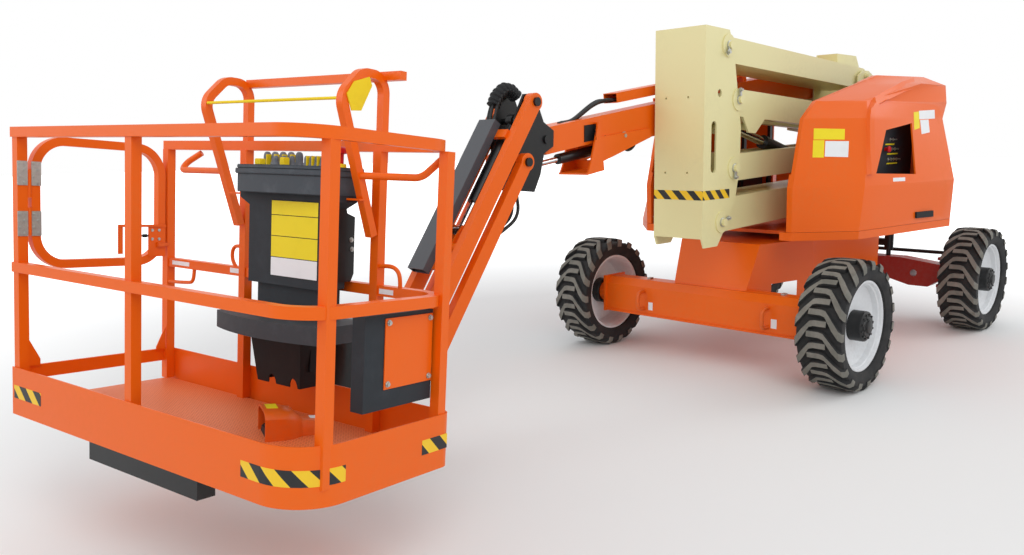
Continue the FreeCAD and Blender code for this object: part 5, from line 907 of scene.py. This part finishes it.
def ridgeBand(name, node, outer, inner, height, body, mirror=1, steps=5):
    # a raised band that follows the node's face between two lines
    part = hoodSkins[node]
    lines = []
    for line in (outer, inner):
        hits = []
        for start, end in zip(line, line[1:]):
            for step in range(steps):
                across, down = (a + (b - a) * step / steps for a, b in zip(start, end))
                eye, ahead = sightLine(across, down, mirror)
                found, place, normal, _ = part.ray_cast(eye, ahead)
                if found:
                    hits.append((place, normal))
        lines.append(hits)
    bm = bmesh.new()
    rings = []
    for (outerPlace, outerNormal), (innerPlace, innerNormal) in zip(*lines):
        inwards = (innerPlace - outerPlace) * 0.28
        rings.append([bm.verts.new(point) for point in (
            outerPlace - outerNormal * 0.002, outerPlace + inwards + outerNormal * height,
            innerPlace - inwards * 0.6 + innerNormal * height, innerPlace - innerNormal * 0.002)])
    for a, b in zip(rings, rings[1:]):
        for k in range(4):
            bm.faces.new((a[k], b[k], b[(k + 1) % 4], a[(k + 1) % 4]))
    bm.faces.new(rings[0])
    bm.faces.new(rings[-1])
    return finishPiece(name, meshFrom(bm, name), body, orangePaint, True)


for side, body in ((1, "hood_left"), (-1, "hood_right")):
    for number, (outer, inner, height) in enumerate(hoodRidges):
        ridgeBand("hoodRidge%d_" % number + body, body, outer, inner, height, body, side)
    layOnNode("hoodLatch_" + body, body, ((0.8935, 0.3865), (0.9100, 0.3835), (0.9100, 0.3940), (0.8935, 0.3970)), body, blackPlastic,
              0.012, side)
for name, corners, material, slotName in facetLabels:
    layOnNode(name, "hood_left", corners, "hood_left", material)
print("chassis and hoods dressed")

# Pin ends, keepers and keeper bolts of the tower arms.
pins = (
    # along x, height, keeper bolt offset along x and z, body
    (1574, 2219, (34, -46), "tower_upright"), (1437, 1880, (10, 62), "tower_upright"),
    (1475, 1433, (8, -60), "tower_upright"), (1610, 1082, (-52, 24), "tower_upright"),
)
bm = bmesh.new()
heads = []
for x, z, (dx, dz), body in pins:
    for side, face in ((1, 323), (-1, -73)):
        turn = math.atan2(dz, dx)
        keeper = Matrix.Translation(fromAxis(x + dx / 2, face + side * 13, z + dz / 2)) @ Matrix.Rotation(-turn, 4, "Y")
        reach = math.hypot(dx, dz) / 2000
        addBlock(bm, (-reach - 0.012, -0.005, -0.013), (reach + 0.014, 0.005, 0.013), keeper, 0.003)
        heads.append((fromAxis(x + dx, face + side * 18, z + dz), Vector((0, side, 0))))
finishPiece("pinKeepers", meshFrom(bm, "pinKeepers"), "tower_upright", zincSteel)
bm = bmesh.new()
for x, z, _, body in pins:
    for side, face in ((1, 323), (-1, -73)):
        facing = Matrix.Translation(fromAxis(x, face, z)) @ Matrix.Rotation(math.radians(-90 * side), 4, "X")
        addLathe(bm, ((0, 24), (22, 24), (25, 21), (25, 8), (30, 6), (30, -6), (0, -6)), facing, 28)
finishPiece("pinEnds", meshFrom(bm, "pinEnds"), "tower_upright", zincSteel, True)
bolted("keeperBolts", heads, "tower_upright", sizes={"Washer Radius": 0.014, "Head Radius": 0.010})
print("tower dressed")


# Hoses that are clamped at both ends: over the jib's head, out of the hose tray, under the jib and behind the deck.
hoseRuns = (
    # name, body, radius in mm, routes
    ("jibHeadHoses", "jib_upper_arm", 9, (
        ((3010, -190, 1880), (3040, -196, 1922), (3090, -200, 1932), (3150, -204, 1892), (3186, -206, 1825), (3200, -206, 1770), (3215, -206, 1725)),
        ((3014, -212, 1874), (3042, -220, 1914), (3090, -226, 1922), (3144, -230, 1886), (3176, -234, 1820), (3192, -236, 1768), (3207, -236, 1722)),
        ((3010, -168, 1878), (3040, -176, 1916), (3090, -178, 1924), (3146, -178, 1888), (3180, -176, 1822), (3196, -176, 1768), (3211, -176, 1724)))),
    ("trayHoses", None, 10, (
        ((2150, -150, 1884), (2230, -150, 1888), (2330, -155, 1868), (2440, -160, 1812), (2530, -165, 1762), (2600, -165, 1735), (2680, -165, 1735)),
        ((2150, -178, 1876), (2240, -178, 1880), (2350, -178, 1845), (2440, -178, 1795), (2520, -180, 1755), (2580, -180, 1738), (2650, -180, 1738)),
        ((2150, -204, 1884), (2240, -204, 1886), (2320, -202, 1862), (2400, -200, 1820), (2480, -198, 1775), (2550, -196, 1745), (2620, -196, 1742)))),
    ("flyLoop", "fly_boom", 9, (
        ((2110, -104, 1625), (2122, -104, 1582), (2080, -104, 1560), (2020, -104, 1580), (1990, -104, 1618)),
        ((2090, -124, 1625), (2100, -124, 1590), (2060, -124, 1570), (2010, -124, 1585), (1975, -124, 1620)))),
    ("jibLowerHose", "jib_lower_arm", 10, (
        ((3055, -150, 1400), (3072, -140, 1330), (3056, -138, 1250), (3080, -138, 1190), (3140, -140, 1150), (3200, -145, 1120)),
        ((3075, -175, 1400), (3090, -168, 1330), (3078, -166, 1250), (3100, -166, 1195), (3155, -168, 1155), (3210, -170, 1125)))),
)
for name, body, radius, routes in hoseRuns:
    mesh = tubeMesh(name, [[fromAxis(*point) for point in route] for route in routes], radius / 1000)
    run = finishPiece(name, mesh, body, hoseRubber, True)
    if body is None:  # the hoses pay out of the tray when the boom extends
        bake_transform(run)

# A ribbed sleeve gathers the hoses where they bend over the jib's head.
sleeve = {"radius": 36, "rib": 5, "ribs": 9}
path = [Vector(point) for point in ((3008, -196, 1888), (3044, -204, 1920), (3092, -208, 1926), (3146, -208, 1888), (3176, -207, 1834))]
bm = bmesh.new()
rings = []
count = sleeve["ribs"] * 4
for step in range(count + 1):
    share = step / count * (len(path) - 1)
    i = min(int(share), len(path) - 2)
    spot = path[i].lerp(path[i + 1], share - i)
    before = path[max(i - 1, 0)]
    after = path[min(i + 2, len(path) - 1)]
    ahead = ((path[i + 1] - before) * (1 - share + i) + (after - path[i]) * (share - i)).normalized()
    side = Vector((0, 1, 0))
    up = ahead.cross(side).normalized()
    radius = sleeve["radius"] + (sleeve["rib"] if step % 4 < 2 else 0)
    turn = [2 * math.pi * k / 22 for k in range(22)]
    rings.append([bm.verts.new(fromAxis(*(spot + side * radius * math.cos(a) + up * radius * math.sin(a)))) for a in turn])
for a, b in zip(rings, rings[1:]):
    for k in range(22):
        bm.faces.new((a[k], a[(k + 1) % 22], b[(k + 1) % 22], b[k]))
bm.faces.new(rings[0])
bm.faces.new(rings[-1])
finishPiece("ribbedSleeve", meshFrom(bm, "ribbedSleeve"), "jib_upper_arm", blackPlastic)

# On the fly boom's near side: a black access panel, two holes drawn as black discs of painted shade, and a pin.
layOnNode("flyPanel", "fly_boom", ((0.5703, 0.2360), (0.5820, 0.2330), (0.5820, 0.2610), (0.5703, 0.2650)), "fly_boom", blackPlastic, 0.003)
bolted("flyPin", [(fromAxis(2129, -95, 1658), Vector((0, 1, 0)))], "fly_boom", sizes={"Washer Radius": 0.026, "Washer Height": 0.005, "Head Radius": 0.013})
# the two black discs are painted shade standing for the holes
bolted("flyHoleShade", [(fromAxis(x, -95, z), Vector((0, 1, 0))) for x, z in ((2385, 1645), (2321, 1650))], "fly_boom", domeRivet,
       {"Base Radius": 0.010, "Crown Radius": 0.007, "Crown Height": 0.001}, blackPaint)
print("hoses laid")
